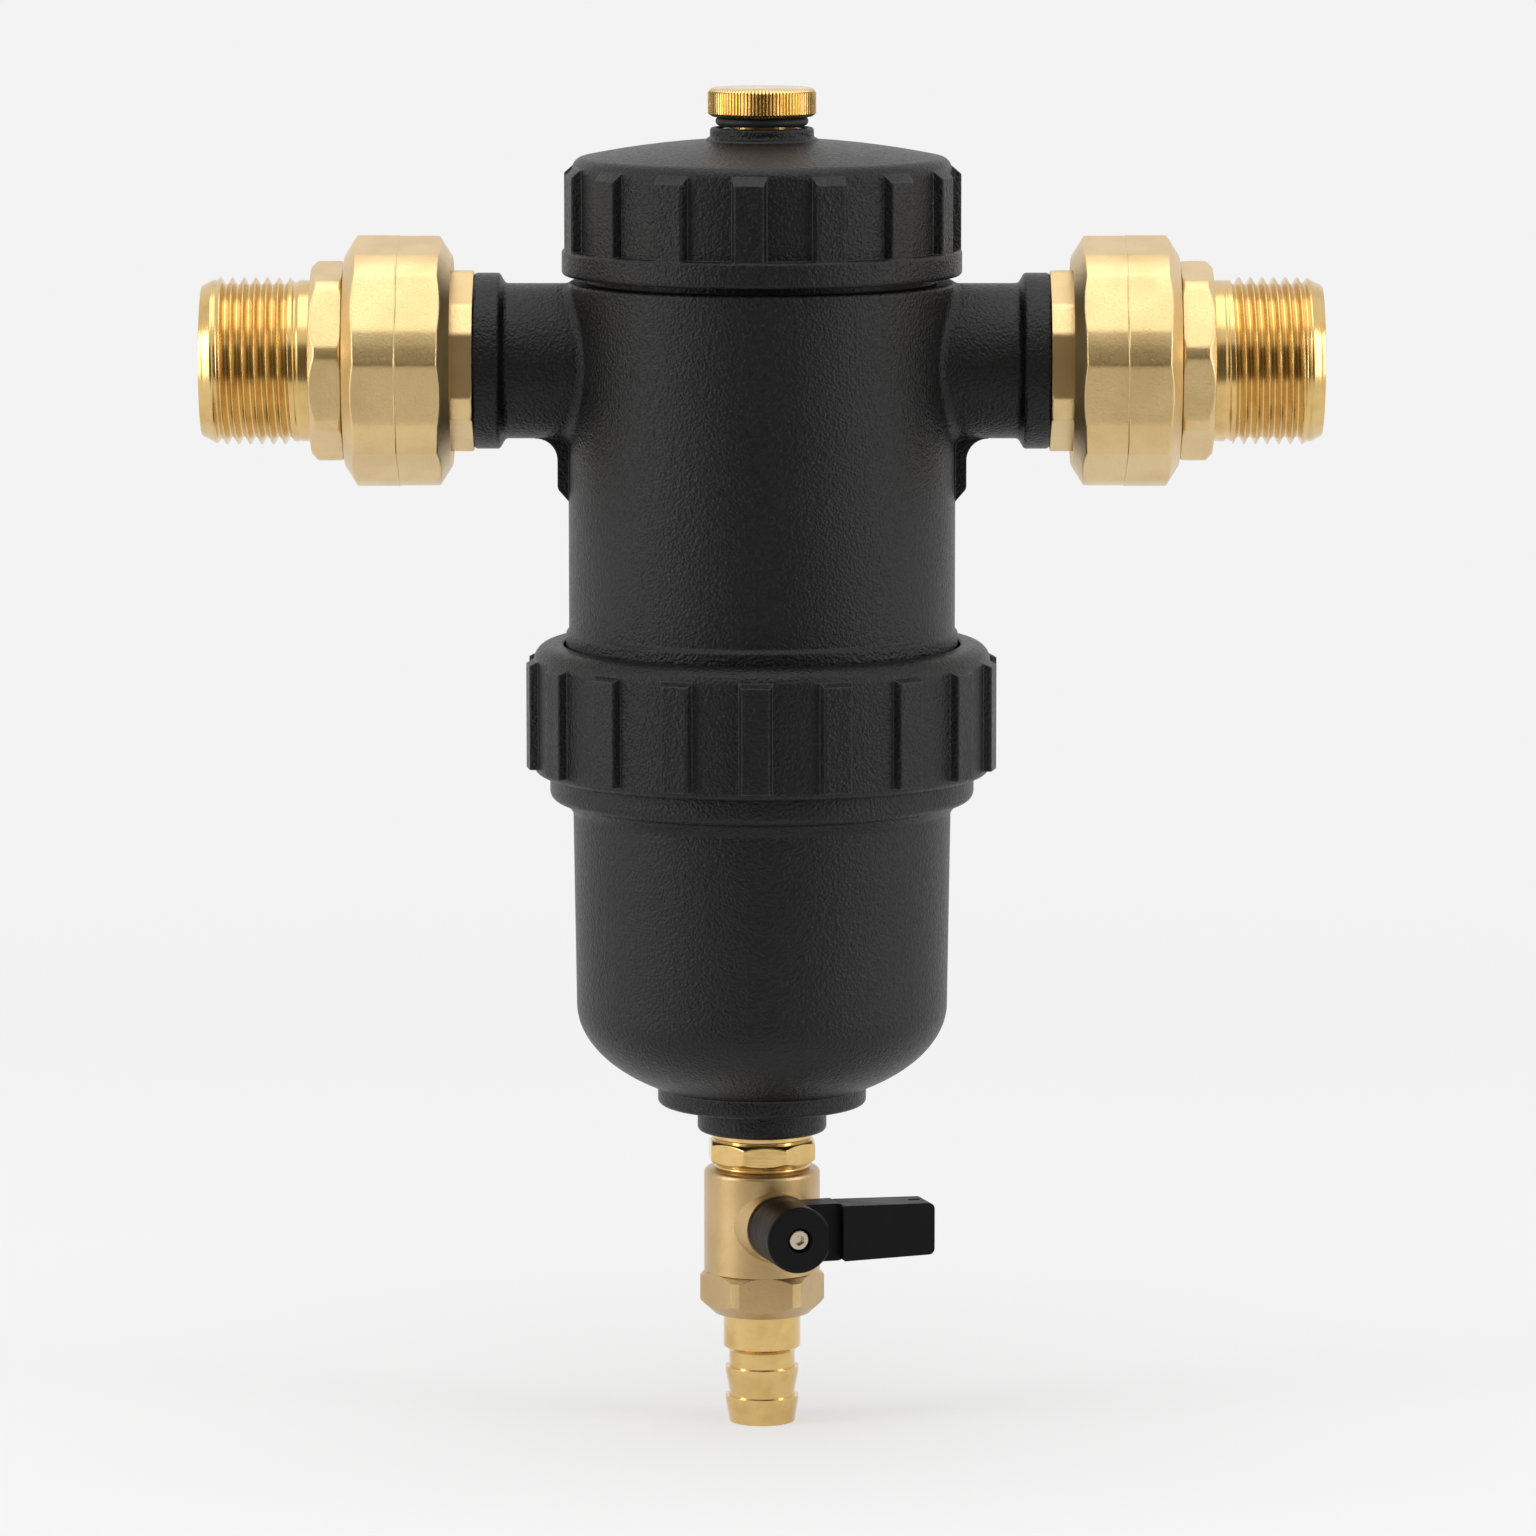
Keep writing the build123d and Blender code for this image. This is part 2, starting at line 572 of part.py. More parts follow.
def valve_ball():
    """Ball with a through bore along the lever and a slot for the stem."""
    slot = Box(
        STEM_TANG_WIDTH + 2 * SNUG,
        2 * BALL_RADIUS,
        BALL_RADIUS,
        align=(Align.CENTER, Align.CENTER, Align.MIN),
    )
    bore = Rot(0, 90, 0) * Cylinder(BALL_BORE_RADIUS, 3 * BALL_RADIUS)
    ball = Sphere(BALL_RADIUS) - Pos(0, 0, BALL_SLOT_FLOOR) * slot - bore
    return along_stem(ball)


def stem_seal_stations():
    """Where the two stem seals start, counted along the stem."""
    first = VALVE_CHAMBER_RADIUS + STEM_COLLAR_THICKNESS + STEM_WASHER_THICKNESS + STEM_SEAL_INSET
    return [first + STEM_SEAL_PITCH * i for i in range(2)]


def valve_stem():
    """Stem with a tang for the ball, a collar inside the body, two grooves and a square end."""
    collar_z = VALVE_CHAMBER_RADIUS
    square_end = STEM_SHAFT_END + STEM_SQUARE_LENGTH
    tang = Box(
        STEM_TANG_WIDTH,
        2 * (SEAT_OFFSET - SEAT_HEIGHT - 2 * FIT),
        collar_z - BALL_SLOT_FLOOR - SNUG,
        align=(Align.CENTER, Align.CENTER, Align.MIN),
    )
    tang_z = BALL_SLOT_FLOOR + SNUG
    stem = Pos(0, 0, tang_z) * tang & rod(STEM_RADIUS, tang_z, collar_z)
    stem += rod(STEM_COLLAR_RADIUS, collar_z, collar_z + STEM_COLLAR_THICKNESS)
    stem += rod(STEM_RADIUS, collar_z, STEM_SHAFT_END)
    stem += Pos(0, 0, STEM_SHAFT_END) * Box(
        STEM_SQUARE,
        STEM_SQUARE,
        STEM_SQUARE_LENGTH,
        align=(Align.CENTER, Align.CENTER, Align.MIN),
    )
    for station in stem_seal_stations():
        stem -= groove_for(STEM_RADIUS, STEM_SEAL_SECTION, station)
    stem -= rod(SCREW_SHANK_RADIUS, square_end - SCREW_SHANK_LENGTH + LEVER_FRONT_WALL, square_end)
    return along_stem(stem)


def stem_seals():
    """Two O-rings in the grooves of the stem."""
    inner = STEM_RADIUS - STEM_SEAL_SECTION - SNUG
    return [
        along_stem(seal(inner, STEM_SEAL_SECTION, station)) for station in stem_seal_stations()
    ]


def stem_washer():
    """Thrust washer between the collar of the stem and the body."""
    low = VALVE_CHAMBER_RADIUS + STEM_COLLAR_THICKNESS
    washer = tube(STEM_RADIUS + RUN, STEM_COLLAR_RADIUS, low + RUN, low + STEM_WASHER_THICKNESS)
    return along_stem(washer)


def drain_lever():
    """Moulded lever: a cup on the stem, a flat on the arm side, a neck and a tapering arm."""
    back = GLAND_REACH + FIT
    front = back + LEVER_HUB_LENGTH
    square_end = STEM_SHAFT_END + STEM_SQUARE_LENGTH + SNUG
    hub = turned(
        [
            (0, back),
            (LEVER_HUB_RADIUS, back),
            (LEVER_HUB_RADIUS, front, LEVER_EDGE),
            (0, front),
        ]
    )
    cut = Box(
        LEVER_HUB_RADIUS,
        3 * LEVER_HUB_RADIUS,
        LEVER_HUB_LENGTH,
        align=(Align.MIN, Align.CENTER, Align.MIN),
    )
    hub -= Pos(LEVER_HUB_FLAT, 0, back + LEVER_ARM_ROOT_THICKNESS) * cut
    neck = Box(
        LEVER_ARM_START + LEVER_NECK_OVERLAP,
        LEVER_NECK_HEIGHT,
        LEVER_NECK_THICKNESS,
        align=(Align.MIN, Align.CENTER, Align.MIN),
    )
    neck = Pos(0, 0, back) * fillet(neck.edges().filter_by(Axis.Z), LEVER_NECK_ROUND)
    root = LEVER_ARM_START
    tip = LEVER_ARM_REACH
    side_view = make_face(
        Polyline(
            (root, back),
            (tip, back + LEVER_ARM_RISE),
            (tip, back + LEVER_ARM_RISE + LEVER_ARM_TIP_THICKNESS),
            (root, back + LEVER_ARM_ROOT_THICKNESS),
            close=True,
        )
    )
    front_view = outline(
        [
            (root, -LEVER_ARM_ROOT_HEIGHT / 2, LEVER_EDGE),
            (tip, -LEVER_ARM_TIP_HEIGHT / 2, LEVER_TIP_ROUND),
            (tip, LEVER_ARM_TIP_HEIGHT / 2, LEVER_TIP_ROUND),
            (root, LEVER_ARM_ROOT_HEIGHT / 2, LEVER_EDGE),
        ]
    )
    arm = extrude(Plane.XZ * side_view, LEVER_ARM_ROOT_HEIGHT, both=True)
    arm &= extrude(front_view, front)
    pit = Box(
        LEVER_PIT_LENGTH,
        2 * LEVER_PIT_DEPTH,
        LEVER_PIT_WIDTH,
        align=(Align.MAX, Align.CENTER, Align.CENTER),
    )
    pit_z = back + LEVER_ARM_TIP_THICKNESS / 2
    arm -= Pos(tip - LEVER_PIT_INSET, LEVER_ARM_TIP_HEIGHT / 2, pit_z) * pit
    lever = hub + neck + arm
    lever -= rod(STEM_RADIUS + SNUG, back, STEM_SHAFT_END)
    lever -= Pos(0, 0, STEM_SHAFT_END) * Box(
        STEM_SQUARE + 2 * SNUG,
        STEM_SQUARE + 2 * SNUG,
        square_end - STEM_SHAFT_END,
        align=(Align.CENTER, Align.CENTER, Align.MIN),
    )
    lever -= rod(SCREW_SHANK_RADIUS + SNUG, back, front)
    lever -= rod(SCREW_RECESS_RADIUS, square_end + LEVER_FRONT_WALL, front)
    return along_stem(lever)


def lever_screw():
    """Socket screw that holds the lever on the stem."""
    seat = STEM_SHAFT_END + STEM_SQUARE_LENGTH + SNUG + LEVER_FRONT_WALL
    top = seat + SCREW_HEAD_HEIGHT
    screw = turned(
        [
            (0, seat - SCREW_SHANK_LENGTH),
            (SCREW_SHANK_RADIUS - SNUG, seat - SCREW_SHANK_LENGTH),
            (SCREW_SHANK_RADIUS - SNUG, seat),
            (SCREW_HEAD_RADIUS, seat),
            (SCREW_HEAD_RADIUS, top, SCREW_EDGE),
            (0, top),
        ]
    )
    screw -= flats(SCREW_SOCKET, HEXAGON_COUNT, seat + SCREW_HEAD_HEIGHT / 2, top, 0)
    return along_stem(screw)


def drain_adapter():
    """Nipple from the bowl to the valve, with its own octagon and sealing collar."""
    flat = ADAPTER_OCTAGON_FLATS / 2
    corner = flat / cos(pi / OCTAGON_COUNT)
    top = BOSS_Z + ADAPTER_SPIGOT_LENGTH
    blank = turned(
        [
            (0, ADAPTER_OCTAGON_Z),
            (flat - ADAPTER_FACE_INSET, ADAPTER_OCTAGON_Z),
            (corner, ADAPTER_OCTAGON_Z + ADAPTER_OCTAGON_CHAMFER),
            (corner, ADAPTER_COLLAR_Z - ADAPTER_OCTAGON_CHAMFER),
            (flat - ADAPTER_FACE_INSET, ADAPTER_COLLAR_Z),
            (0, ADAPTER_COLLAR_Z),
        ]
    )
    octagon = flats(
        ADAPTER_OCTAGON_FLATS,
        OCTAGON_COUNT,
        ADAPTER_OCTAGON_Z,
        ADAPTER_COLLAR_Z,
        ADAPTER_OCTAGON_TURN,
    )
    nipple = turned(
        [
            (0, STEM_Z + SEAT_OFFSET),
            (ADAPTER_SPIGOT_RADIUS, STEM_Z + SEAT_OFFSET),
            (ADAPTER_SPIGOT_RADIUS, VALVE_TOP_Z),
            (ADAPTER_NECK_RADIUS, VALVE_TOP_Z),
            (ADAPTER_NECK_RADIUS, ADAPTER_COLLAR_Z),
            (ADAPTER_COLLAR_RADIUS, ADAPTER_COLLAR_Z),
            (ADAPTER_COLLAR_RADIUS, BOSS_Z, ADAPTER_COLLAR_ROUND),
            (ADAPTER_SPIGOT_RADIUS, BOSS_Z),
            (ADAPTER_SPIGOT_RADIUS, top),
            (0, top),
        ]
    )
    nipple += blank & octagon
    nipple -= rod(ADAPTER_BORE_RADIUS, STEM_Z, top)
    bore = ADAPTER_SPIGOT_RADIUS + SNUG
    return nipple - groove_for(bore, ADAPTER_SEAL_SECTION, BOSS_Z + ADAPTER_COLLAR_HEIGHT)


def adapter_seal():
    """O-ring between the nipple and the boss of the bowl."""
    inner = ADAPTER_SPIGOT_RADIUS + SNUG - ADAPTER_SEAL_SECTION - SNUG
    return seal(inner, ADAPTER_SEAL_SECTION, BOSS_Z + ADAPTER_COLLAR_HEIGHT)


def half_ellipsoid(radius, depth):
    """Domed bowl end with its flat side up, at the height where the wall begins."""
    quarter = Ellipse(radius, depth) & Rectangle(radius, depth, align=(Align.MIN, Align.MAX))
    return Pos(0, 0, BOWL_SPRING_Z) * revolve(Plane.XZ * quarter, Axis.Z)


def bowl():
    """Moulded bowl: domed end with a stepped boss, drafted wall, flange and threaded neck."""
    wall_top = BOWL_FLANGE_Z - BOWL_SKIRT_HEIGHT
    outer = turned(
        [
            (0, BOWL_SPRING_Z),
            (BOWL_DOME_RADIUS, BOWL_SPRING_Z),
            (BOWL_TOP_RADIUS, wall_top, BOWL_SKIRT_ROUND),
            (BOWL_FLANGE_RADIUS - BOWL_SKIRT_INSET, BOWL_FLANGE_Z, BOWL_FOOT_ROUND),
            (BOWL_FLANGE_RADIUS, BOWL_FLANGE_Z, BOWL_FLANGE_ROUND),
            (BOWL_FLANGE_RADIUS, BOWL_NECK_Z),
            (BOWL_NECK_RADIUS, BOWL_NECK_Z),
            (BOWL_NECK_RADIUS, BOWL_TOP_Z),
            (0, BOWL_TOP_Z),
        ]
    )
    foot_ratio = BOWL_FOOT_RADIUS / BOWL_DOME_RADIUS
    foot_z = BOWL_SPRING_Z - BOWL_DOME_DEPTH * sqrt(1 - foot_ratio**2)
    foot = turned(
        [
            (0, BOWL_Z),
            (BOWL_FOOT_RADIUS, BOWL_Z, BOWL_FOOT_ROUND),
            (BOWL_FOOT_RADIUS, foot_z + BOWL_WALL / 2),
            (0, foot_z + BOWL_WALL / 2),
        ]
    )
    boss = turned(
        [
            (0, BOSS_Z),
            (BOSS_RADIUS, BOSS_Z, BOWL_FOOT_ROUND),
            (BOSS_RADIUS, BOWL_Z + BOWL_FOOT_ROUND),
            (0, BOWL_Z + BOWL_FOOT_ROUND),
        ]
    )
    shell = outer + half_ellipsoid(BOWL_DOME_RADIUS, BOWL_DOME_DEPTH) + foot + boss
    room_z = BOWL_TOP_Z - SPIGOT_LENGTH
    cavity = turned(
        [
            (0, BOWL_SPRING_Z),
            (BOWL_DOME_RADIUS - BOWL_WALL, BOWL_SPRING_Z),
            (BOWL_TOP_RADIUS - BOWL_WALL, room_z),
            (SPIGOT_RADIUS + FIT, room_z),
            (SPIGOT_RADIUS + FIT, BOWL_TOP_Z),
            (0, BOWL_TOP_Z),
        ]
    )
    cavity += half_ellipsoid(BOWL_DOME_RADIUS - BOWL_WALL, BOWL_DOME_DEPTH - BOWL_WALL)
    return shell - cavity - rod(ADAPTER_SPIGOT_RADIUS + SNUG, BOSS_Z, BOWL_SPRING_Z)


def lock_ring():
    """Ring nut with grip ribs: its lip holds the flange of the body, its thread the bowl."""
    rib_top = RING_TOP_Z - RING_RIB_CLEAR
    skin = turned(
        [
            (RING_HOLE_RADIUS, RING_LIP_Z),
            (RING_BORE_RADIUS, RING_LIP_Z),
            (RING_BORE_RADIUS, RING_Z),
            (RING_SKIN_RADIUS, RING_Z, RING_FOOT_ROUND),
            (RING_SKIN_RADIUS, RING_TOP_Z, RING_TOP_ROUND),
            (RING_HOLE_RADIUS, RING_TOP_Z, RING_HOLE_ROUND),
        ]
    )
    ribs = grip_ribs(
        RING_RIB_COUNT,
        RING_SKIN_RADIUS,
        RING_RIB_RADIUS,
        RING_RIB_WIDTH,
        RING_Z + RING_FOOT_ROUND,
        rib_top,
        RING_RIB_DROP,
        RING_RIB_TURN,
    )
    return skin + ribs


def gusset():
    """Rib under a port tube, on the +X side."""
    foot_z = PORT_Z - GUSSET_DEPTH
    tube_foot_z = PORT_Z - PORT_TUBE_RADIUS
    inside = BODY_RADIUS - BODY_WALL / 2
    profile = outline(
        [
            (inside, tube_foot_z + GUSSET_SINK),
            (GUSSET_TOP_REACH, tube_foot_z + GUSSET_SINK),
            (GUSSET_TOP_REACH, tube_foot_z + GUSSET_EDGE),
            (GUSSET_REACH, tube_foot_z + GUSSET_EDGE, GUSSET_CURVE - GUSSET_EDGE),
            (GUSSET_REACH, foot_z + GUSSET_FOOT, GUSSET_TOE_ROUND),
            (BODY_RADIUS - GUSSET_EDGE, foot_z),
            (inside, foot_z),
        ]
    )
    return extrude(Plane.XZ * profile, GUSSET_THICKNESS / 2, both=True)


def port_tube():
    """Outside of one port, upright: tube, ramp and collar."""
    collar = PORT_REACH - PORT_COLLAR_LENGTH
    return turned(
        [
            (0, 0),
            (PORT_TUBE_RADIUS, 0),
            (PORT_TUBE_RADIUS, collar - PORT_COLLAR_RAMP, PORT_FOOT_ROUND),
            (PORT_COLLAR_RADIUS, collar, PORT_COLLAR_ROUND),
            (PORT_COLLAR_RADIUS, PORT_REACH, PORT_COLLAR_ROUND),
            (0, PORT_REACH),
        ]
    )


def upper_body():
    """Moulded body: threaded neck above, two ports with gussets, flange and spigot below."""
    shell = turned(
        [
            (0, SPIGOT_Z),
            (SPIGOT_RADIUS, SPIGOT_Z),
            (SPIGOT_RADIUS, BODY_FLANGE_Z),
            (BODY_FLANGE_RADIUS, BODY_FLANGE_Z),
            (BODY_FLANGE_RADIUS, BODY_Z),
            (BODY_BEAD_RADIUS, BODY_Z),
            (BODY_BEAD_RADIUS, RING_TOP_Z + BODY_BEAD_HEIGHT, BODY_BEAD_ROUND),
            (BODY_RADIUS, RING_TOP_Z + BODY_BEAD_HEIGHT + BODY_BEAD_RAMP),
            (BODY_RADIUS, BODY_TOP_Z, BODY_EDGE_ROUND),
            (BODY_NECK_RADIUS, BODY_TOP_Z),
            (BODY_NECK_RADIUS, BODY_NECK_TOP_Z),
            (0, BODY_NECK_TOP_Z),
        ]
    )
    ports = along_pipe(port_tube(), 1) + along_pipe(port_tube(), -1)
    shell = shell + ports
    roots = shell.edges().filter_by(
        lambda edge: edge.geom_type != GeomType.CIRCLE
        and edge.geom_type != GeomType.LINE
        and PORT_TUBE_RADIUS < abs(edge.center().X) < PORT_REACH - PORT_COLLAR_LENGTH
    )
    shell = fillet(roots, PORT_ROOT_ROUND)
    shell = shell + gusset() + mirror(gusset(), about=Plane.YZ)
    cavity = turned(
        [
            (0, SPIGOT_Z),
            (BODY_BORE_RADIUS, SPIGOT_Z),
            (BODY_BORE_RADIUS, BODY_SHELF_Z),
            (BODY_NECK_BORE_RADIUS, BODY_SHELF_Z),
            (BODY_NECK_BORE_RADIUS, BODY_NECK_TOP_Z),
            (0, BODY_NECK_TOP_Z),
        ]
    )
    shell = shell - cavity
    seat = PORT_REACH - UNION_SPIGOT_LENGTH
    hole = rod(UNION_SPIGOT_RADIUS + SNUG, seat, PORT_REACH) + rod(UNION_BORE_RADIUS, 0, seat)
    shell = shell - along_pipe(hole, 1) - along_pipe(hole, -1)
    clip_z = BODY_SHELF_Z - ELEMENT_HEIGHT - CLIP_SECTION - SNUG
    shell -= tube(
        BODY_NECK_BORE_RADIUS,
        BODY_BORE_RADIUS + CLIP_DEPTH + SNUG,
        clip_z,
        clip_z + CLIP_SECTION + SNUG,
    )
    return shell - groove_for(SPIGOT_RADIUS + FIT, SPIGOT_SEAL_SECTION, SPIGOT_SEAL_Z)


def bowl_seal():
    """O-ring on the spigot of the body."""
    inner = SPIGOT_RADIUS + FIT - SPIGOT_SEAL_SECTION - 2 * SNUG
    return seal(inner, SPIGOT_SEAL_SECTION, SPIGOT_SEAL_Z)


def element_frame():
    """Two spoked plates on a sleeve, which carry the fins."""
    low = BODY_SHELF_Z - ELEMENT_HEIGHT
    sleeve_outer = ELEMENT_SLEEVE_RADIUS + ELEMENT_SLEEVE_WALL
    rim = BODY_BORE_RADIUS - FIT
    frame = tube(ELEMENT_SLEEVE_RADIUS, sleeve_outer, low, BODY_SHELF_Z)
    plate = Circle(rim) - Circle(rim - ELEMENT_RIM_WIDTH)
    spoke_length = rim - sleeve_outer - ELEMENT_RIM_WIDTH / 2
    spoke = Rectangle(
        spoke_length,
        ELEMENT_SPOKE_WIDTH,
        align=(Align.MIN, Align.CENTER),
    )
    for i in range(ELEMENT_SPOKES):
        plate += Rot(0, 0, 360 / ELEMENT_SPOKES * i) * Pos(sleeve_outer - ELEMENT_SPOKE_SINK, 0) * spoke
    for height in (low, BODY_SHELF_Z - ELEMENT_PLATE):
        frame += extrude(Pos(0, 0, height) * plate, ELEMENT_PLATE)
    return frame


def element_fins():
    """Windowed fins between the plates, each a separate sheet."""
    low = BODY_SHELF_Z - ELEMENT_HEIGHT + ELEMENT_PLATE
    high = BODY_SHELF_Z - ELEMENT_PLATE
    inner = ELEMENT_SLEEVE_RADIUS + ELEMENT_SLEEVE_WALL
    outer = BODY_BORE_RADIUS - FIT - FIN_RIM_GAP
    fin = Rectangle(outer - inner, high - low, align=(Align.MIN, Align.MIN))
    row = (high - low - FIN_BAR) / FIN_ROWS
    window = Rectangle(
        outer - inner - 2 * FIN_BAR,
        row - FIN_BAR,
        align=(Align.MIN, Align.MIN),
    )
    for i in range(FIN_ROWS):
        fin -= Pos(FIN_BAR, FIN_BAR + row * i) * window
    sheet = extrude(Plane.XZ * fin, FIN_THICKNESS / 2, both=True)
    sheet = Pos(inner, 0, low) * sheet
    step = 360 / FIN_COUNT
    return [Rot(0, 0, step * (i + 0.5)) * sheet for i in range(FIN_COUNT)]


def element_clip():
    """Split wire ring under the element, in the groove of the body."""
    low = BODY_SHELF_Z - ELEMENT_HEIGHT - CLIP_SECTION
    outer = BODY_BORE_RADIUS + CLIP_DEPTH
    ring = tube(outer - 2 * CLIP_SECTION, outer, low, low + CLIP_SECTION)
    gap = Box(
        2 * outer,
        CLIP_OPENING,
        4 * CLIP_SECTION,
        align=(Align.MIN, Align.CENTER, Align.CENTER),
    )
    return ring - Rot(0, 0, 90) * Pos(0, 0, low) * gap


def forged_bar(sides, flat, corner, low, high, turn):
    """Forged bar whose corners are flattened by a second, larger bar of the same kind."""
    cut = flats(corner, sides, low, high, turn + 180 / sides)
    return flats(flat, sides, low, high, turn) & cut


def union_adapter():
    """Upright: spigot for the port, hexagon and the thread that takes the union nut."""
    seat = PORT_REACH - UNION_SPIGOT_LENGTH
    end = UNION_THREAD_X + UNION_THREAD_LENGTH
    corner = UNION_HEX_CORNERS / 2 + CORNER_ROOM
    inset = corner - UNION_HEX_CHAMFER
    blank = turned(
        [
            (0, PORT_REACH),
            (inset, PORT_REACH),
            (corner, PORT_REACH + UNION_HEX_CHAMFER),
            (corner, UNION_THREAD_X - UNION_HEX_CHAMFER),
            (inset, UNION_THREAD_X),
            (0, UNION_THREAD_X),
        ]
    )
    head = forged_bar(
        HEXAGON_COUNT,
        UNION_HEX_FLATS,
        UNION_HEX_CORNERS,
        PORT_REACH,
        UNION_THREAD_X,
        UNION_HEX_TURN,
    )
    adapter = head & blank
    adapter += rod(UNION_SPIGOT_RADIUS, seat, PORT_REACH)
    neck = UNION_THREAD_X + NUT_OVERLAP
    adapter += turned(
        [
            (0, UNION_THREAD_X),
            (UNION_THREAD_RADIUS - UNION_THREAD_RELIEF, UNION_THREAD_X),
            (UNION_THREAD_RADIUS - UNION_THREAD_RELIEF, neck),
            (UNION_THREAD_RADIUS, neck + UNION_THREAD_RELIEF),
            (UNION_THREAD_RADIUS, end),
            (0, end),
        ]
    )
    adapter -= rod(UNION_BORE_RADIUS, seat, end)
    seal_z = PORT_REACH - UNION_SEAL_INSET
    return adapter - groove_for(UNION_SPIGOT_RADIUS + SNUG, UNION_SEAL_SECTION, seal_z)


def union_seal():
    """Upright: O-ring on the spigot of the adapter."""
    inner = UNION_SPIGOT_RADIUS - UNION_SEAL_SECTION
    return seal(inner, UNION_SEAL_SECTION, PORT_REACH - UNION_SEAL_INSET)


def union_gasket():
    """Upright: flat gasket that the union nut squeezes."""
    return tube(PIPE_BORE_RADIUS, PIPE_NECK_RADIUS, GASKET_X, PIPE_NECK_X)


def union_tail():
    """Upright: neck with a groove, octagon, plain neck and pipe thread."""
    corner = PIPE_OCTAGON_CORNERS / 2 + CORNER_ROOM
    neck = PIPE_NECK_RADIUS
    blank = turned(
        [
            (0, PIPE_OCTAGON_X),
            (corner - PIPE_OCTAGON_NUT_CHAMFER, PIPE_OCTAGON_X),
            (corner, PIPE_OCTAGON_X + PIPE_OCTAGON_NUT_CHAMFER),
            (corner, PIPE_PLAIN_X - PIPE_OCTAGON_END_CHAMFER),
            (corner - PIPE_OCTAGON_END_CHAMFER, PIPE_PLAIN_X),
            (0, PIPE_PLAIN_X),
        ]
    )
    tail = blank & forged_bar(
        OCTAGON_COUNT,
        PIPE_OCTAGON_FLATS,
        PIPE_OCTAGON_CORNERS,
        PIPE_OCTAGON_X,
        PIPE_PLAIN_X,
        OCTAGON_TURN,
    )
    groove = neck - SNAP_RING_DEPTH
    tail += turned(
        [
            (0, PIPE_NECK_X),
            (neck, PIPE_NECK_X),
            (neck, SNAP_RING_X),
            (groove, SNAP_RING_X),
            (groove, SNAP_RING_X + SNAP_RING_THICKNESS),
            (neck, SNAP_RING_X + SNAP_RING_THICKNESS),
            (neck, PIPE_OCTAGON_X),
            (0, PIPE_OCTAGON_X),
        ]
    )
    tail += turned(
        [
            (0, PIPE_PLAIN_X),
            (PIPE_PLAIN_RADIUS, PIPE_PLAIN_X),
            (PIPE_PLAIN_RADIUS, PIPE_THREAD_X),
            (PIPE_THREAD_RADIUS, PIPE_THREAD_X),
            (PIPE_THREAD_RADIUS, PIPE_TIP_X),
            (PIPE_TIP_RADIUS, PIPE_END_X),
            (0, PIPE_END_X),
        ]
    )
    return tail - rod(PIPE_BORE_RADIUS, PIPE_NECK_X, PIPE_END_X)


def snap_ring():
    """Upright: split ring that the lip of the union nut pulls on."""
    inner = PIPE_NECK_RADIUS - SNAP_RING_DEPTH
    ring = tube(inner, SNAP_RING_RADIUS, SNAP_RING_X, SNAP_RING_X + SNAP_RING_THICKNESS)
    gap = Box(
        2 * SNAP_RING_RADIUS,
        SNAP_RING_OPENING,
        4 * SNAP_RING_THICKNESS,
        align=(Align.MIN, Align.CENTER, Align.CENTER),
    )
    return ring - Pos(0, 0, SNAP_RING_X) * gap


def union_nut():
    """Upright: octagonal nut with chamfered ends, a threaded bore and a lip."""
    corner = NUT_CORNERS / 2 + CORNER_ROOM
    face = NUT_FLATS / 2 - NUT_FACE_INSET
    bore = UNION_THREAD_RADIUS + FIT
    blank = turned(
        [
            (PIPE_NECK_RADIUS + FIT, NUT_LIP_X),
            (bore, NUT_LIP_X),
            (bore, NUT_X),
            (face, NUT_X),
            (corner, NUT_X + NUT_CHAMFER),
            (corner, NUT_END_X - NUT_CHAMFER),
            (face, NUT_END_X),
            (PIPE_NECK_RADIUS + FIT, NUT_END_X),
        ]
    )
    return blank & forged_bar(OCTAGON_COUNT, NUT_FLATS, NUT_CORNERS, NUT_X, NUT_END_X, OCTAGON_TURN)


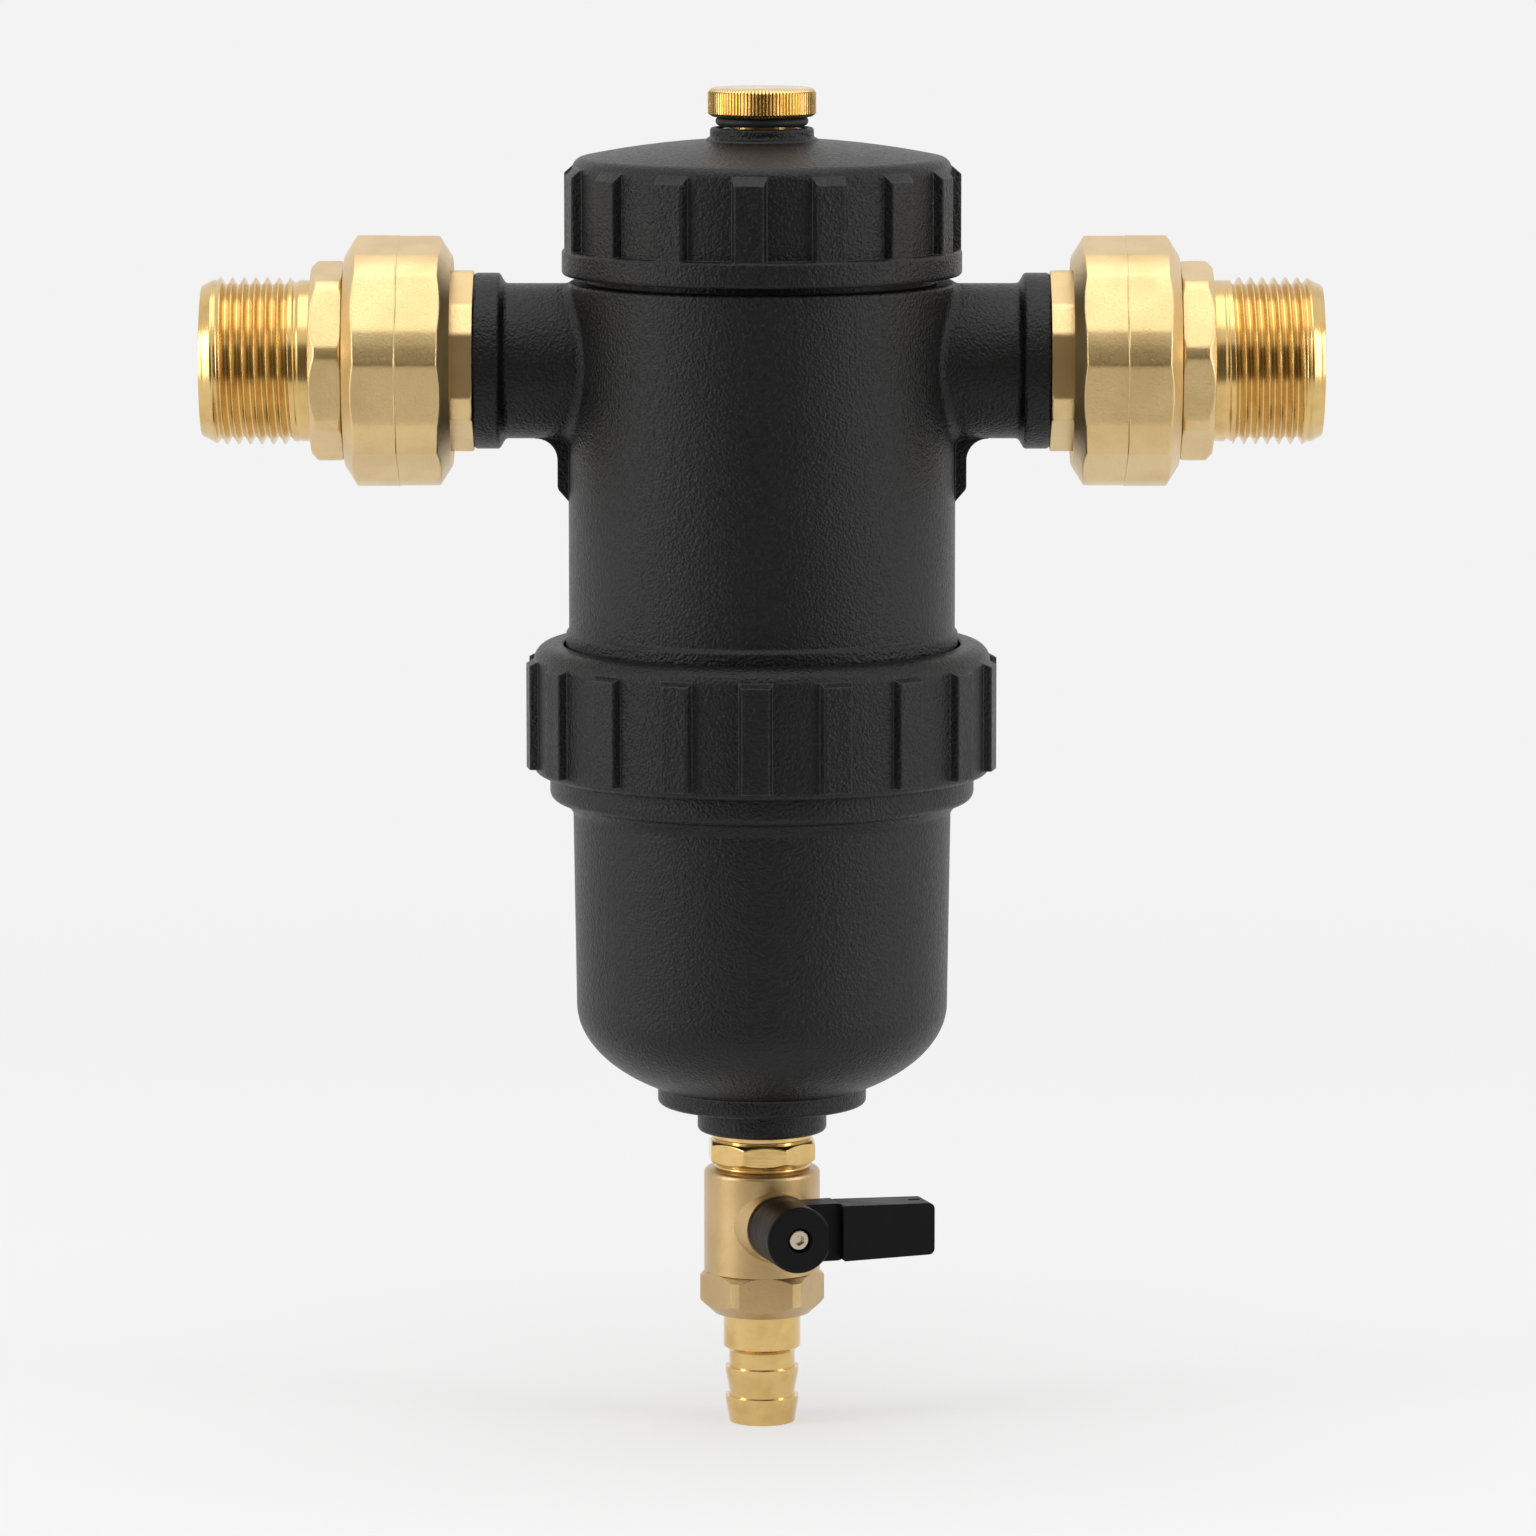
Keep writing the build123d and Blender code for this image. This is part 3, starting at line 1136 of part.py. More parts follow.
def top_cap():
    """Moulded screw cap: grip ribs, domed crown, boss for the pocket and a sealing spigot."""
    spigot = BODY_NECK_BORE_RADIUS - CAP_SPIGOT_GAP
    spigot_z = CAP_SLOT_Z - CAP_SPIGOT_LENGTH
    flare = CAP_BOSS_RADIUS + CAP_BOSS_FLARE
    skin = turned(
        [
            (0, CAP_Z),
            (CAP_RIM_RADIUS, CAP_Z, CAP_RIM_ROUND),
            (CAP_RIM_RADIUS, CAP_Z + CAP_RIM_HEIGHT, CAP_RIM_ROUND),
            (CAP_SKIN_RADIUS, CAP_Z + CAP_RIM_HEIGHT),
            (CAP_SKIN_RADIUS, CAP_CROWN_Z),
            (0, CAP_CROWN_Z),
        ]
    )
    crown = skin & Pos(0, 0, CAP_CROWN_Z - CAP_CROWN_RADIUS) * Sphere(CAP_CROWN_RADIUS)
    rims = crown.edges().filter_by(GeomType.CIRCLE)
    rims = rims.filter_by(lambda edge: abs(edge.radius - CAP_SKIN_RADIUS) < FIT)
    crown = fillet(rims.sort_by(Axis.Z)[-1], CAP_SHOULDER_ROUND)
    crown += turned(
        [
            (0, CAP_CEILING_Z),
            (flare, CAP_CEILING_Z),
            (flare, CAP_CROWN_Z - CAP_BOSS_FLARE_HEIGHT / 2, CAP_BOSS_FLARE_HEIGHT),
            (CAP_BOSS_RADIUS, CAP_CROWN_Z + CAP_BOSS_FLARE_HEIGHT, CAP_BOSS_FLARE_HEIGHT),
            (CAP_BOSS_RADIUS, CAP_BOSS_Z, CAP_BOSS_ROUND),
            (0, CAP_BOSS_Z),
        ]
    )
    crown += grip_ribs(
        CAP_RIB_COUNT,
        CAP_SKIN_RADIUS,
        CAP_RIB_RADIUS,
        CAP_RIB_WIDTH,
        CAP_Z + CAP_RIM_HEIGHT - RIB_SINK,
        CAP_Z + CAP_RIM_HEIGHT + CAP_RIB_HEIGHT,
        CAP_RIB_DROP,
        CAP_RIB_TURN,
    )
    room = turned(
        [
            (0, CAP_Z),
            (CAP_BORE_RADIUS, CAP_Z),
            (CAP_BORE_RADIUS, CAP_SLOT_Z),
            (spigot, CAP_SLOT_Z),
            (spigot, spigot_z),
            (spigot - CAP_SPIGOT_WALL, spigot_z),
            (spigot - CAP_SPIGOT_WALL, CAP_CEILING_Z, CAP_SPIGOT_ROUND),
            (0, CAP_CEILING_Z),
        ]
    )
    seal_room = tube(
        POCKET_RADIUS,
        POCKET_RADIUS + POCKET_SEAL_SECTION + FIT,
        pocket_seal_z() - FIT,
        pocket_seal_z() + POCKET_SEAL_SECTION + FIT,
    )
    clip_room = rod(CIRCLIP_RADIUS + FIT, circlip_z() - FIT, CAP_BOSS_Z)
    cap = crown - room - rod(POCKET_RADIUS + FIT, CAP_CEILING_Z, CAP_BOSS_Z) - seal_room - clip_room
    return cap - groove_for(BODY_NECK_BORE_RADIUS, CAP_SEAL_SECTION, spigot_z + CAP_SEAL_SECTION)


def cap_seal():
    """O-ring on the spigot of the cap."""
    low = CAP_SLOT_Z - CAP_SPIGOT_LENGTH + CAP_SEAL_SECTION
    inner = BODY_NECK_BORE_RADIUS - CAP_SEAL_SECTION - 2 * SNUG
    return seal(inner, CAP_SEAL_SECTION, low)


def pocket_seal_z():
    """Height of the O-ring round the pocket, inside the roof of the cap."""
    return CAP_CEILING_Z + POCKET_SEAL_INSET


def circlip_z():
    """Height of the circlip at the top of the pocket."""
    return POCKET_TOP_Z - CIRCLIP_THICKNESS - CIRCLIP_INSET


def magnet_pocket():
    """Closed tube that keeps the magnets dry, with a flange under the cap and a clip groove."""
    flange_z = CAP_CEILING_Z - FIT - POCKET_FLANGE_THICKNESS
    bore = POCKET_RADIUS - POCKET_WALL
    groove = POCKET_RADIUS - CIRCLIP_DEPTH
    return turned(
        [
            (0, POCKET_Z),
            (POCKET_RADIUS, POCKET_Z, POCKET_TIP_ROUND),
            (POCKET_RADIUS, flange_z),
            (POCKET_FLANGE_RADIUS, flange_z),
            (POCKET_FLANGE_RADIUS, flange_z + POCKET_FLANGE_THICKNESS),
            (POCKET_RADIUS, flange_z + POCKET_FLANGE_THICKNESS),
            (POCKET_RADIUS, circlip_z()),
            (groove, circlip_z()),
            (groove, circlip_z() + CIRCLIP_THICKNESS),
            (POCKET_RADIUS, circlip_z() + CIRCLIP_THICKNESS),
            (POCKET_RADIUS, POCKET_TOP_Z),
            (bore, POCKET_TOP_Z),
            (bore, POCKET_Z + POCKET_FLOOR, POCKET_TIP_ROUND / 2),
            (0, POCKET_Z + POCKET_FLOOR),
        ]
    )


def pocket_seal():
    """O-ring between the pocket and the cap."""
    return seal(POCKET_RADIUS, POCKET_SEAL_SECTION, pocket_seal_z())


def pocket_circlip():
    """Circlip that keeps the pocket in the cap."""
    low = circlip_z()
    inner = POCKET_RADIUS - CIRCLIP_DEPTH
    ring = tube(inner, CIRCLIP_RADIUS, low, low + CIRCLIP_THICKNESS)
    reach = 2 * CIRCLIP_RADIUS
    half = reach * sin(radians(CIRCLIP_SLOT / 2))
    gap = make_face(Polyline((0, 0), (reach, -half), (reach, half), close=True))
    return ring - extrude(Pos(0, 0, low) * gap, CIRCLIP_THICKNESS)


def magnet_stack_z():
    """Foot of the stack of pole washers and magnets, above the end nut."""
    return KNOB_SEAL_Z - KNOB_SHANK_LENGTH - stack_length()


def stack_length():
    """Length of all magnets with a pole washer at each end and between each pair."""
    return MAGNET_COUNT * MAGNET_HEIGHT + (MAGNET_COUNT + 1) * POLE_THICKNESS


def magnet_knob():
    """Turned knob with the neck for its O-ring and a shank that guides it in the pocket."""
    shank_z = KNOB_SEAL_Z - KNOB_SHANK_LENGTH
    knob = turned(
        [
            (0, shank_z),
            (KNOB_SHANK_RADIUS, shank_z),
            (KNOB_SHANK_RADIUS, KNOB_SEAL_Z),
            (KNOB_NECK_RADIUS, KNOB_SEAL_Z),
            (KNOB_NECK_RADIUS, KNOB_Z),
            (KNOB_RADIUS - KNOB_FOOT_CHAMFER, KNOB_Z),
            (KNOB_RADIUS, KNOB_Z + KNOB_FOOT_CHAMFER),
            (KNOB_RADIUS, KNOB_Z + KNOB_HEIGHT - KNOB_CHAMFER),
            (KNOB_RADIUS - KNOB_CHAMFER, KNOB_Z + KNOB_HEIGHT),
            (0, KNOB_Z + KNOB_HEIGHT),
        ]
    )
    return knob - rod(SPINDLE_RADIUS, shank_z, shank_z + SPINDLE_GRIP)


def knob_seal():
    """O-ring under the knob."""
    return seal(KNOB_NECK_RADIUS, KNOB_SEAL_SECTION, KNOB_SEAL_Z)


def magnet_spindle():
    """Rod through the magnets, from the end nut into the knob."""
    top = KNOB_SEAL_Z - KNOB_SHANK_LENGTH + SPINDLE_GRIP
    return rod(SPINDLE_RADIUS, magnet_stack_z() - END_NUT_HEIGHT, top)


def ring_magnets():
    """Ring magnets, like poles facing across each washer."""
    step = MAGNET_HEIGHT + POLE_THICKNESS
    first = magnet_stack_z() + POLE_THICKNESS
    return [
        tube(SPINDLE_RADIUS, MAGNET_RADIUS, first + step * i, first + step * i + MAGNET_HEIGHT)
        for i in range(MAGNET_COUNT)
    ]


def pole_washers():
    """Steel washers between the magnets and at both ends."""
    step = MAGNET_HEIGHT + POLE_THICKNESS
    first = magnet_stack_z()
    return [
        tube(SPINDLE_RADIUS, MAGNET_RADIUS, first + step * i, first + step * i + POLE_THICKNESS)
        for i in range(MAGNET_COUNT + 1)
    ]


def spindle_nut():
    """Nut at the foot of the spindle."""
    low = magnet_stack_z() - END_NUT_HEIGHT
    return flats(END_NUT_FLATS, HEXAGON_COUNT, low, low + END_NUT_HEIGHT, 0) - rod(
        SPINDLE_RADIUS, low, low + END_NUT_HEIGHT
    )


def write(name, piece):
    """One file for each named piece; a list is a group of separate solids."""
    if isinstance(piece, list):
        piece = Compound(children=[solid for part in piece for solid in part.solids()])
    export_step(piece, f"parts/{name}.step")


write("upper_body", upper_body())
write("element_frame", element_frame())
write("element_fins", element_fins())
write("element_clip", element_clip())
write("bowl_oring", bowl_seal())
for side_name, side in (("inlet", -1), ("outlet", 1)):
    write(f"{side_name}_adapter", along_pipe(union_adapter(), side))
    write(f"{side_name}_adapter_oring", along_pipe(union_seal(), side))
    write(f"{side_name}_gasket", along_pipe(union_gasket(), side))
    write(f"{side_name}_tail", along_pipe(union_tail(), side))
    write(f"{side_name}_snap_ring", along_pipe(snap_ring(), side))
    write(f"{side_name}_union_nut", along_pipe(union_nut(), side))
write("top_cap", top_cap())
write("cap_oring", cap_seal())
write("magnet_pocket", magnet_pocket())
write("pocket_oring", pocket_seal())
write("pocket_circlip", pocket_circlip())
write("magnet_knob", magnet_knob())
write("knob_oring", knob_seal())
write("magnet_spindle", magnet_spindle())
write("ring_magnets", ring_magnets())
write("pole_washers", pole_washers())
write("spindle_nut", spindle_nut())
write("lock_ring", lock_ring())
write("bowl", bowl())
write("drain_adapter", drain_adapter())
write("adapter_oring", adapter_seal())
write("drain_valve_body", valve_body())
write("ball_seats", ball_seats())
write("valve_retainer", valve_retainer())
write("tail_washer", tail_washer())
write("hose_tail", hose_tail())
write("stem_washer", stem_washer())
write("valve_ball", valve_ball())
write("valve_stem", valve_stem())
write("stem_orings", stem_seals())
write("drain_lever", drain_lever())
write("lever_screw", lever_screw())
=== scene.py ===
from math import atan2, cos, pi, radians, sin, tau

import bmesh
import bpy
import numpy as np
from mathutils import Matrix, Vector


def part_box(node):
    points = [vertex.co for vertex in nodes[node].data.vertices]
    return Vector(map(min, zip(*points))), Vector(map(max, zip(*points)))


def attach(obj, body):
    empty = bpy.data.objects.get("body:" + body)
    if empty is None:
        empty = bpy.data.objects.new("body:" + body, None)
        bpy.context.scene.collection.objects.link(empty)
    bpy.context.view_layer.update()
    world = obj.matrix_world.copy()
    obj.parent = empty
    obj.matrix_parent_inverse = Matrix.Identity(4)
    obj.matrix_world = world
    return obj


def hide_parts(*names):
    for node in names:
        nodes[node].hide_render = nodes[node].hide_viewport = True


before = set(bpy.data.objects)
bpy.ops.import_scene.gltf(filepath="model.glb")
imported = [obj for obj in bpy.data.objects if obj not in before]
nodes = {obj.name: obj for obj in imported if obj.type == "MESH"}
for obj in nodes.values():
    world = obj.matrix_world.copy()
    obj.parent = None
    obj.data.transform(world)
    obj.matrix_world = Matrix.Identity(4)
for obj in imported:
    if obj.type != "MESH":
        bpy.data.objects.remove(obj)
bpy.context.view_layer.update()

# Magnetic dirt separator: moulded black plastic housing, forged and turned brass fittings.
# Metres, +Z up, the camera looks along +Y. The inlet union points to -X.

MM = 0.001


# Shader helpers


def new_material(name):
    """A material with a Principled BSDF, and its node tree and shader."""
    material = bpy.data.materials.new(name)
    material.use_nodes = True
    tree = material.node_tree
    return material, tree, tree.nodes["Principled BSDF"]


def add(tree, kind, inputs=None, **settings):
    """A shader node of this kind, with its settings and the values or sockets of its inputs."""
    made = tree.nodes.new("ShaderNode" + kind)
    for key, value in settings.items():
        setattr(made, key, value)
    for key, value in (inputs or {}).items():
        if isinstance(value, bpy.types.NodeSocket):
            tree.links.new(value, made.inputs[key])
        else:
            made.inputs[key].default_value = value
    return made


def position(tree, scale=(1.0, 1.0, 1.0)):
    """Place on the piece in millimetres, stretched by scale."""
    coordinates = add(tree, "TexCoord")
    mapping = add(tree, "Mapping", {"Vector": coordinates.outputs["Object"]})
    mapping.inputs["Scale"].default_value = [factor / MM for factor in scale]
    return mapping.outputs["Vector"]


def noise(tree, place, scale, detail=3.0, roughness=0.55):
    """Noise whose features repeat about scale times in a millimetre."""
    inputs = {"Vector": place, "Scale": scale, "Detail": detail, "Roughness": roughness}
    return add(tree, "TexNoise", inputs).outputs["Fac"]


def math(tree, operation, first, second=0.0):
    """One step of arithmetic."""
    return add(tree, "Math", {0: first, 1: second}, operation=operation).outputs[0]


def spread(tree, value, low, high, to_low, to_high):
    """Values from low to high carried over to another range, smoothly."""
    inputs = {
        "Value": value,
        "From Min": low,
        "From Max": high,
        "To Min": to_low,
        "To Max": to_high,
    }
    return add(tree, "MapRange", inputs, interpolation_type="SMOOTHSTEP").outputs["Result"]


def blend_colour(tree, factor, first, second):
    """Mix of two colours, each a socket or three numbers."""
    mix = add(tree, "Mix", data_type="RGBA")
    for slot, value in ((6, first), (7, second)):
        if isinstance(value, bpy.types.NodeSocket):
            tree.links.new(value, mix.inputs[slot])
        else:
            mix.inputs[slot].default_value = (*value, 1.0)
    if isinstance(factor, bpy.types.NodeSocket):
        tree.links.new(factor, mix.inputs[0])
    else:
        mix.inputs[0].default_value = factor
    return mix.outputs[2]


def relief(tree, height, depth, normal=None):
    """Bump of this depth in millimetres."""
    inputs = {"Height": height, "Distance": depth * MM, "Strength": 1.0}
    if normal is not None:
        inputs["Normal"] = normal
    return add(tree, "Bump", inputs).outputs["Normal"]


def soft_edges(tree, radius, gain):
    """Normal that rounds edges by this radius in millimetres, and a mask that is 1 on them."""
    rounded = add(tree, "Bevel", {"Radius": radius * MM}, samples=4).outputs["Normal"]
    true_normal = add(tree, "NewGeometry").outputs["Normal"]
    facing = add(tree, "VectorMath", {0: rounded, 1: true_normal}, operation="DOT_PRODUCT")
    turned_away = math(tree, "SUBTRACT", 1.0, facing.outputs["Value"])
    mask = spread(tree, math(tree, "MULTIPLY", turned_away, gain), 0.0, 1.0, 0.0, 1.0)
    return rounded, mask


# Colours, linear


def linear(red, green, blue):
    """A colour given as it looks on screen, 0 to 255, as linear light."""
    def channel(value):
        part = value / 255
        return part / 12.92 if part <= 0.04045 else ((part + 0.055) / 1.055) ** 2.4
    return (channel(red), channel(green), channel(blue))


PLASTIC = linear(10, 10, 11)
PLASTIC_WORN = linear(21, 21, 22)
# Light grey laid on the plastic's edges: a painted edge highlight
PLASTIC_EDGE_HIGHLIGHT = linear(92, 92, 93)
LEVER = linear(11, 11, 12)
FORGED = linear(226, 196, 138)
FORGED_DEEP = linear(196, 160, 100)
# Darker copies of the forged brass for the drain valve parts: painted shade, as if less light reached
# them
SHADED_VALVE_BRASS = linear(198, 167, 115)
SHADED_VALVE_BRASS_DEEP = linear(168, 135, 85)
TURNED = linear(224, 190, 122)
TURNED_DEEP = linear(190, 146, 76)
RUBBER = linear(24, 24, 25)
STEEL = linear(196, 196, 192)
NICKEL = linear(205, 192, 170)
FIBRE = linear(111, 124, 118)
SEAT = linear(235, 234, 228)
INNER_PLASTIC = linear(70, 72, 74)


# Materials


def moulded_plastic(name, colour, worn, edge, grain, roughness):
    """Glass-filled black plastic with a leathery moulded grain and a painted highlight along its
    edges.
    """
    material, tree, shader = new_material(name)
    place = position(tree)
    coarse = noise(tree, place, 1.1, 4.0, 0.6)
    fine = noise(tree, place, 3.2, 3.0, 0.55)
    cells = add(tree, "TexVoronoi", {"Vector": place, "Scale": 1.9}, feature="SMOOTH_F1")
    patches = noise(tree, place, 0.035, 2.0)
    height = math(tree, "ADD", math(tree, "MULTIPLY", cells.outputs["Distance"], 0.9), coarse)
    height = math(tree, "ADD", height, math(tree, "MULTIPLY", fine, 0.55))
    rounded, mask = soft_edges(tree, 0.4, 3.2)
    body = blend_colour(tree, spread(tree, patches, 0.3, 0.7, 0.0, 0.35), colour, worn)
    speckled = blend_colour(tree, spread(tree, fine, 0.45, 0.75, 0.0, 0.22), body, worn)
    # Edges take the light grey through the bevel mask: a painted highlight along the edges
    tree.links.new(
        blend_colour(tree, math(tree, "MULTIPLY", mask, 0.8), speckled, edge),
        shader.inputs["Base Color"],
    )
    rough = spread(tree, coarse, 0.25, 0.75, roughness - 0.06, roughness + 0.07)
    smoother = math(tree, "SUBTRACT", rough, math(tree, "MULTIPLY", mask, 0.16))
    tree.links.new(smoother, shader.inputs["Roughness"])
    tree.links.new(relief(tree, height, grain, rounded), shader.inputs["Normal"])
    shader.inputs["Specular IOR Level"].default_value = 0.3
    return material


def smooth_plastic(name, colour, roughness):
    """Smooth moulded plastic with faint flow marks."""
    material, tree, shader = new_material(name)
    place = position(tree)
    flow = noise(tree, position(tree, (0.12, 0.5, 0.12)), 1.0, 2.0)
    fine = noise(tree, place, 5.0, 2.0)
    lighter = tuple(part * 1.5 for part in colour)
    tone = blend_colour(tree, spread(tree, flow, 0.35, 0.7, 0.0, 0.4), colour, lighter)
    tree.links.new(tone, shader.inputs["Base Color"])
    tree.links.new(
        spread(tree, flow, 0.3, 0.7, roughness - 0.05, roughness + 0.06),
        shader.inputs["Roughness"],
    )
    rounded, _ = soft_edges(tree, 0.35, 3.0)
    tree.links.new(relief(tree, fine, 0.012, rounded), shader.inputs["Normal"])
    shader.inputs["Specular IOR Level"].default_value = 0.13
    return material


def forged_brass(name, colour, deep):
    """Hot-forged brass, blasted to an even satin, with a painted highlight along its edges."""
    material, tree, shader = new_material(name)
    place = position(tree)
    blast = noise(tree, place, 8.0, 3.0, 0.6)
    pits = noise(tree, place, 2.2, 4.0, 0.6)
    stain = noise(tree, place, 0.11, 3.0, 0.5)
    rounded, mask = soft_edges(tree, 0.14, 3.4)
    tone = blend_colour(tree, spread(tree, stain, 0.35, 0.7, 0.0, 0.35), colour, deep)
    tone = blend_colour(tree, spread(tree, pits, 0.55, 0.8, 0.0, 0.35), tone, deep)
    # A lighter copy of the brass laid on the edges: a painted highlight
    painted_edge_highlight = tuple(min(1.0, part * 1.18) for part in colour)
    tone = blend_colour(tree, math(tree, "MULTIPLY", mask, 0.6), tone, painted_edge_highlight)
    tree.links.new(tone, shader.inputs["Base Color"])
    rough = spread(tree, pits, 0.3, 0.8, 0.32, 0.46)
    tree.links.new(
        math(tree, "SUBTRACT", rough, math(tree, "MULTIPLY", mask, 0.14)),
        shader.inputs["Roughness"],
    )
    height = math(tree, "ADD", math(tree, "MULTIPLY", blast, 0.5), pits)
    tree.links.new(relief(tree, height, 0.045, rounded), shader.inputs["Normal"])
    shader.inputs["Metallic"].default_value = 1.0
    shader.inputs["Coat Weight"].default_value = 0.7
    shader.inputs["Coat Roughness"].default_value = 0.35
    return material


def turned_brass(name, lines, shine, edge_radius):
    """Brass from the lathe; lines is how fast the tool marks change along X, Y and Z."""
    material, tree, shader = new_material(name)
    marks = noise(tree, position(tree, lines), 1.0, 4.0, 0.6)
    place = position(tree)
    stain = noise(tree, place, 0.22, 3.0, 0.5)
    rounded, mask = soft_edges(tree, edge_radius, 3.0)
    tone = blend_colour(tree, spread(tree, stain, 0.35, 0.75, 0.0, 0.45), TURNED, TURNED_DEEP)
    # A lighter copy of the brass laid on the edges: a painted highlight
    painted_edge_highlight = tuple(min(1.0, part * 1.15) for part in TURNED)
    tone = blend_colour(tree, math(tree, "MULTIPLY", mask, 0.7), tone, painted_edge_highlight)
    tree.links.new(tone, shader.inputs["Base Color"])
    tree.links.new(
        spread(tree, marks, 0.3, 0.75, shine - 0.05, shine + 0.09), shader.inputs["Roughness"]
    )
    tree.links.new(relief(tree, marks, 0.004, rounded), shader.inputs["Normal"])
    shader.inputs["Metallic"].default_value = 1.0
    shader.inputs["Coat Weight"].default_value = 0.5
    shader.inputs["Coat Roughness"].default_value = 0.2
    return material


def bare_metal(name, colour, shine):
    """Drawn or plated metal with fine scratches."""
    material, tree, shader = new_material(name)
    scratches = noise(tree, position(tree, (0.6, 0.6, 9.0)), 1.0, 3.0)
    dull = tuple(part * 0.72 for part in colour)
    tone = blend_colour(tree, spread(tree, scratches, 0.3, 0.8, 0.0, 0.6), colour, dull)
    tree.links.new(tone, shader.inputs["Base Color"])
    tree.links.new(
        spread(tree, scratches, 0.3, 0.7, shine - 0.05, shine + 0.1), shader.inputs["Roughness"]
    )
    tree.links.new(relief(tree, scratches, 0.006), shader.inputs["Normal"])
    shader.inputs["Metallic"].default_value = 1.0
    return material


def soft_material(name, colour, roughness, grain):
    """Rubber, fibre or seat plastic: matt, with a fine grain."""
    material, tree, shader = new_material(name)
    place = position(tree)
    fleck = noise(tree, place, 2.4, 4.0, 0.65)
    deep = tuple(part * 0.62 for part in colour)
    tone = blend_colour(tree, spread(tree, fleck, 0.35, 0.75, 0.0, 0.7), colour, deep)
    tree.links.new(tone, shader.inputs["Base Color"])
    tree.links.new(
        spread(tree, fleck, 0.3, 0.7, roughness - 0.08, roughness + 0.08),
        shader.inputs["Roughness"],
    )
    tree.links.new(relief(tree, fleck, grain), shader.inputs["Normal"])
    return material


MARKS_ROUND_X = (7.0, 0.15, 0.15)
MARKS_ROUND_Z = (0.15, 0.15, 7.0)
MARKS_FAINT = (0.4, 0.4, 0.4)
finishes = {
    "black_plastic": moulded_plastic(
        "black_plastic_grained", PLASTIC, PLASTIC_WORN, PLASTIC_EDGE_HIGHLIGHT, 0.2, 0.38
    ),
    "lever_plastic": smooth_plastic("lever_plastic_smooth", LEVER, 0.42),
    "frame_plastic": smooth_plastic("frame_plastic_smooth", INNER_PLASTIC, 0.5),
    "forged_brass": forged_brass("forged_brass_blasted", FORGED, FORGED_DEEP),
    "turned_brass": turned_brass("turned_brass_upright", MARKS_ROUND_Z, 0.17, 0.15),
    "black_rubber": soft_material("black_rubber_matt", RUBBER, 0.62, 0.01),
    "gasket_fibre": soft_material("gasket_fibre_flat", FIBRE, 0.85, 0.03),
    "seat_plastic": soft_material("seat_plastic_white", SEAT, 0.45, 0.01),
    "stainless": bare_metal("stainless_drawn", STEEL, 0.3),
    "nickel": bare_metal("nickel_plated", NICKEL, 0.22),
}
finishes["union_tail"] = turned_brass("turned_brass_along_pipe", MARKS_ROUND_X, 0.22, 0.05)
finishes["knob"] = turned_brass("turned_brass_knob", MARKS_FAINT, 0.2, 0.04)
# Drain valve body and retainer take the darker brass: painted shade on the lower parts
finishes["valve"] = forged_brass("forged_brass_valve_painted_shade", SHADED_VALVE_BRASS, SHADED_VALVE_BRASS_DEEP)


# Turned and milled pieces, drawn as rings of points, in millimetres


def box_mm(node):
    """Lowest and highest corner of a CAD node, in millimetres."""
    node_low, node_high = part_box(node)
    return np.array(node_low) / MM, np.array(node_high) / MM


PORT_Z = box_mm("outlet_tail")[0][2] / 2 + box_mm("outlet_tail")[1][2] / 2


def on_pipe(side):
    """Places stations and radii round the pipe axis; angles start in front and run upward."""
    def place(station, angle, radius):
        station, angle, radius = np.broadcast_arrays(station, angle, radius)
        return np.stack(
            [side * station, -radius * np.cos(angle), PORT_Z + radius * np.sin(angle)], axis=-1
        )
    return place


def upright(station, angle, radius):
    """Places heights and radii round the vertical axis; angles start in front."""
    station, angle, radius = np.broadcast_arrays(station, angle, radius)
    return np.stack([radius * np.sin(angle), -radius * np.cos(angle), station], axis=-1)


def steps(start, end, step):
    """Even steps from start to end, both included."""
    return np.linspace(start, end, max(2, round(abs(end - start) / step) + 1))


def ring_mesh(name, rings, closed):
    """Mesh through rings of points; closed joins the last ring to the first, else both are capped."""
    rows, count = rings.shape[:2]
    index = np.arange(rows * count).reshape(rows, count)
    ahead = np.roll(index, -1, axis=0) if closed else index[1:]
    near = index if closed else index[:-1]
    quads = np.stack([near, ahead, np.roll(ahead, -1, axis=1), np.roll(near, -1, axis=1)], -1)
    faces = quads.reshape(-1, 4).tolist()
    if not closed:
        faces += [index[0].tolist(), index[-1][::-1].tolist()]
    mesh = bpy.data.meshes.new(name)
    mesh.from_pydata((rings.reshape(-1, 3) * MM).tolist(), [], faces)
    work = bmesh.new()
    work.from_mesh(mesh)
    if work.calc_volume(signed=True) < 0:
        bmesh.ops.reverse_faces(work, faces=work.faces)
    work.to_mesh(mesh)
    work.free()
    mesh.shade_smooth()
    mesh.set_sharp_from_angle(angle=radians(32))
    return mesh


def smooth_rows(mesh, first, last):
    """Shades the edges between two numbered points smooth, for the rounds of a thread."""
    ends = np.empty(len(mesh.edges) * 2, dtype=np.int32)
    mesh.edges.foreach_get("vertices", ends)
    ends = ends.reshape(-1, 2)
    inside = ((ends >= first) & (ends < last)).all(axis=1)
    sharp = mesh.attributes["sharp_edge"].data
    values = np.empty(len(ends), dtype=bool)
    sharp.foreach_get("value", values)
    values[inside] = False
    sharp.foreach_set("value", values)


def piece(name, rings, body, finish, replaced=(), closed=True):
    """A piece of the object from its rings, with its finish, its body and what it stands for."""
    made = bpy.data.objects.new(name, ring_mesh(name, rings, closed))
    bpy.context.collection.objects.link(made)
    made.data.materials.append(finish)
    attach(made, body)
    if replaced:
        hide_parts(*replaced)
    return made


def turned_rings(place, angles, corners):
    """Rings of a plain turned stretch through corners given as station and radius."""
    return np.stack([place(station, angles, radius) for station, radius in corners])


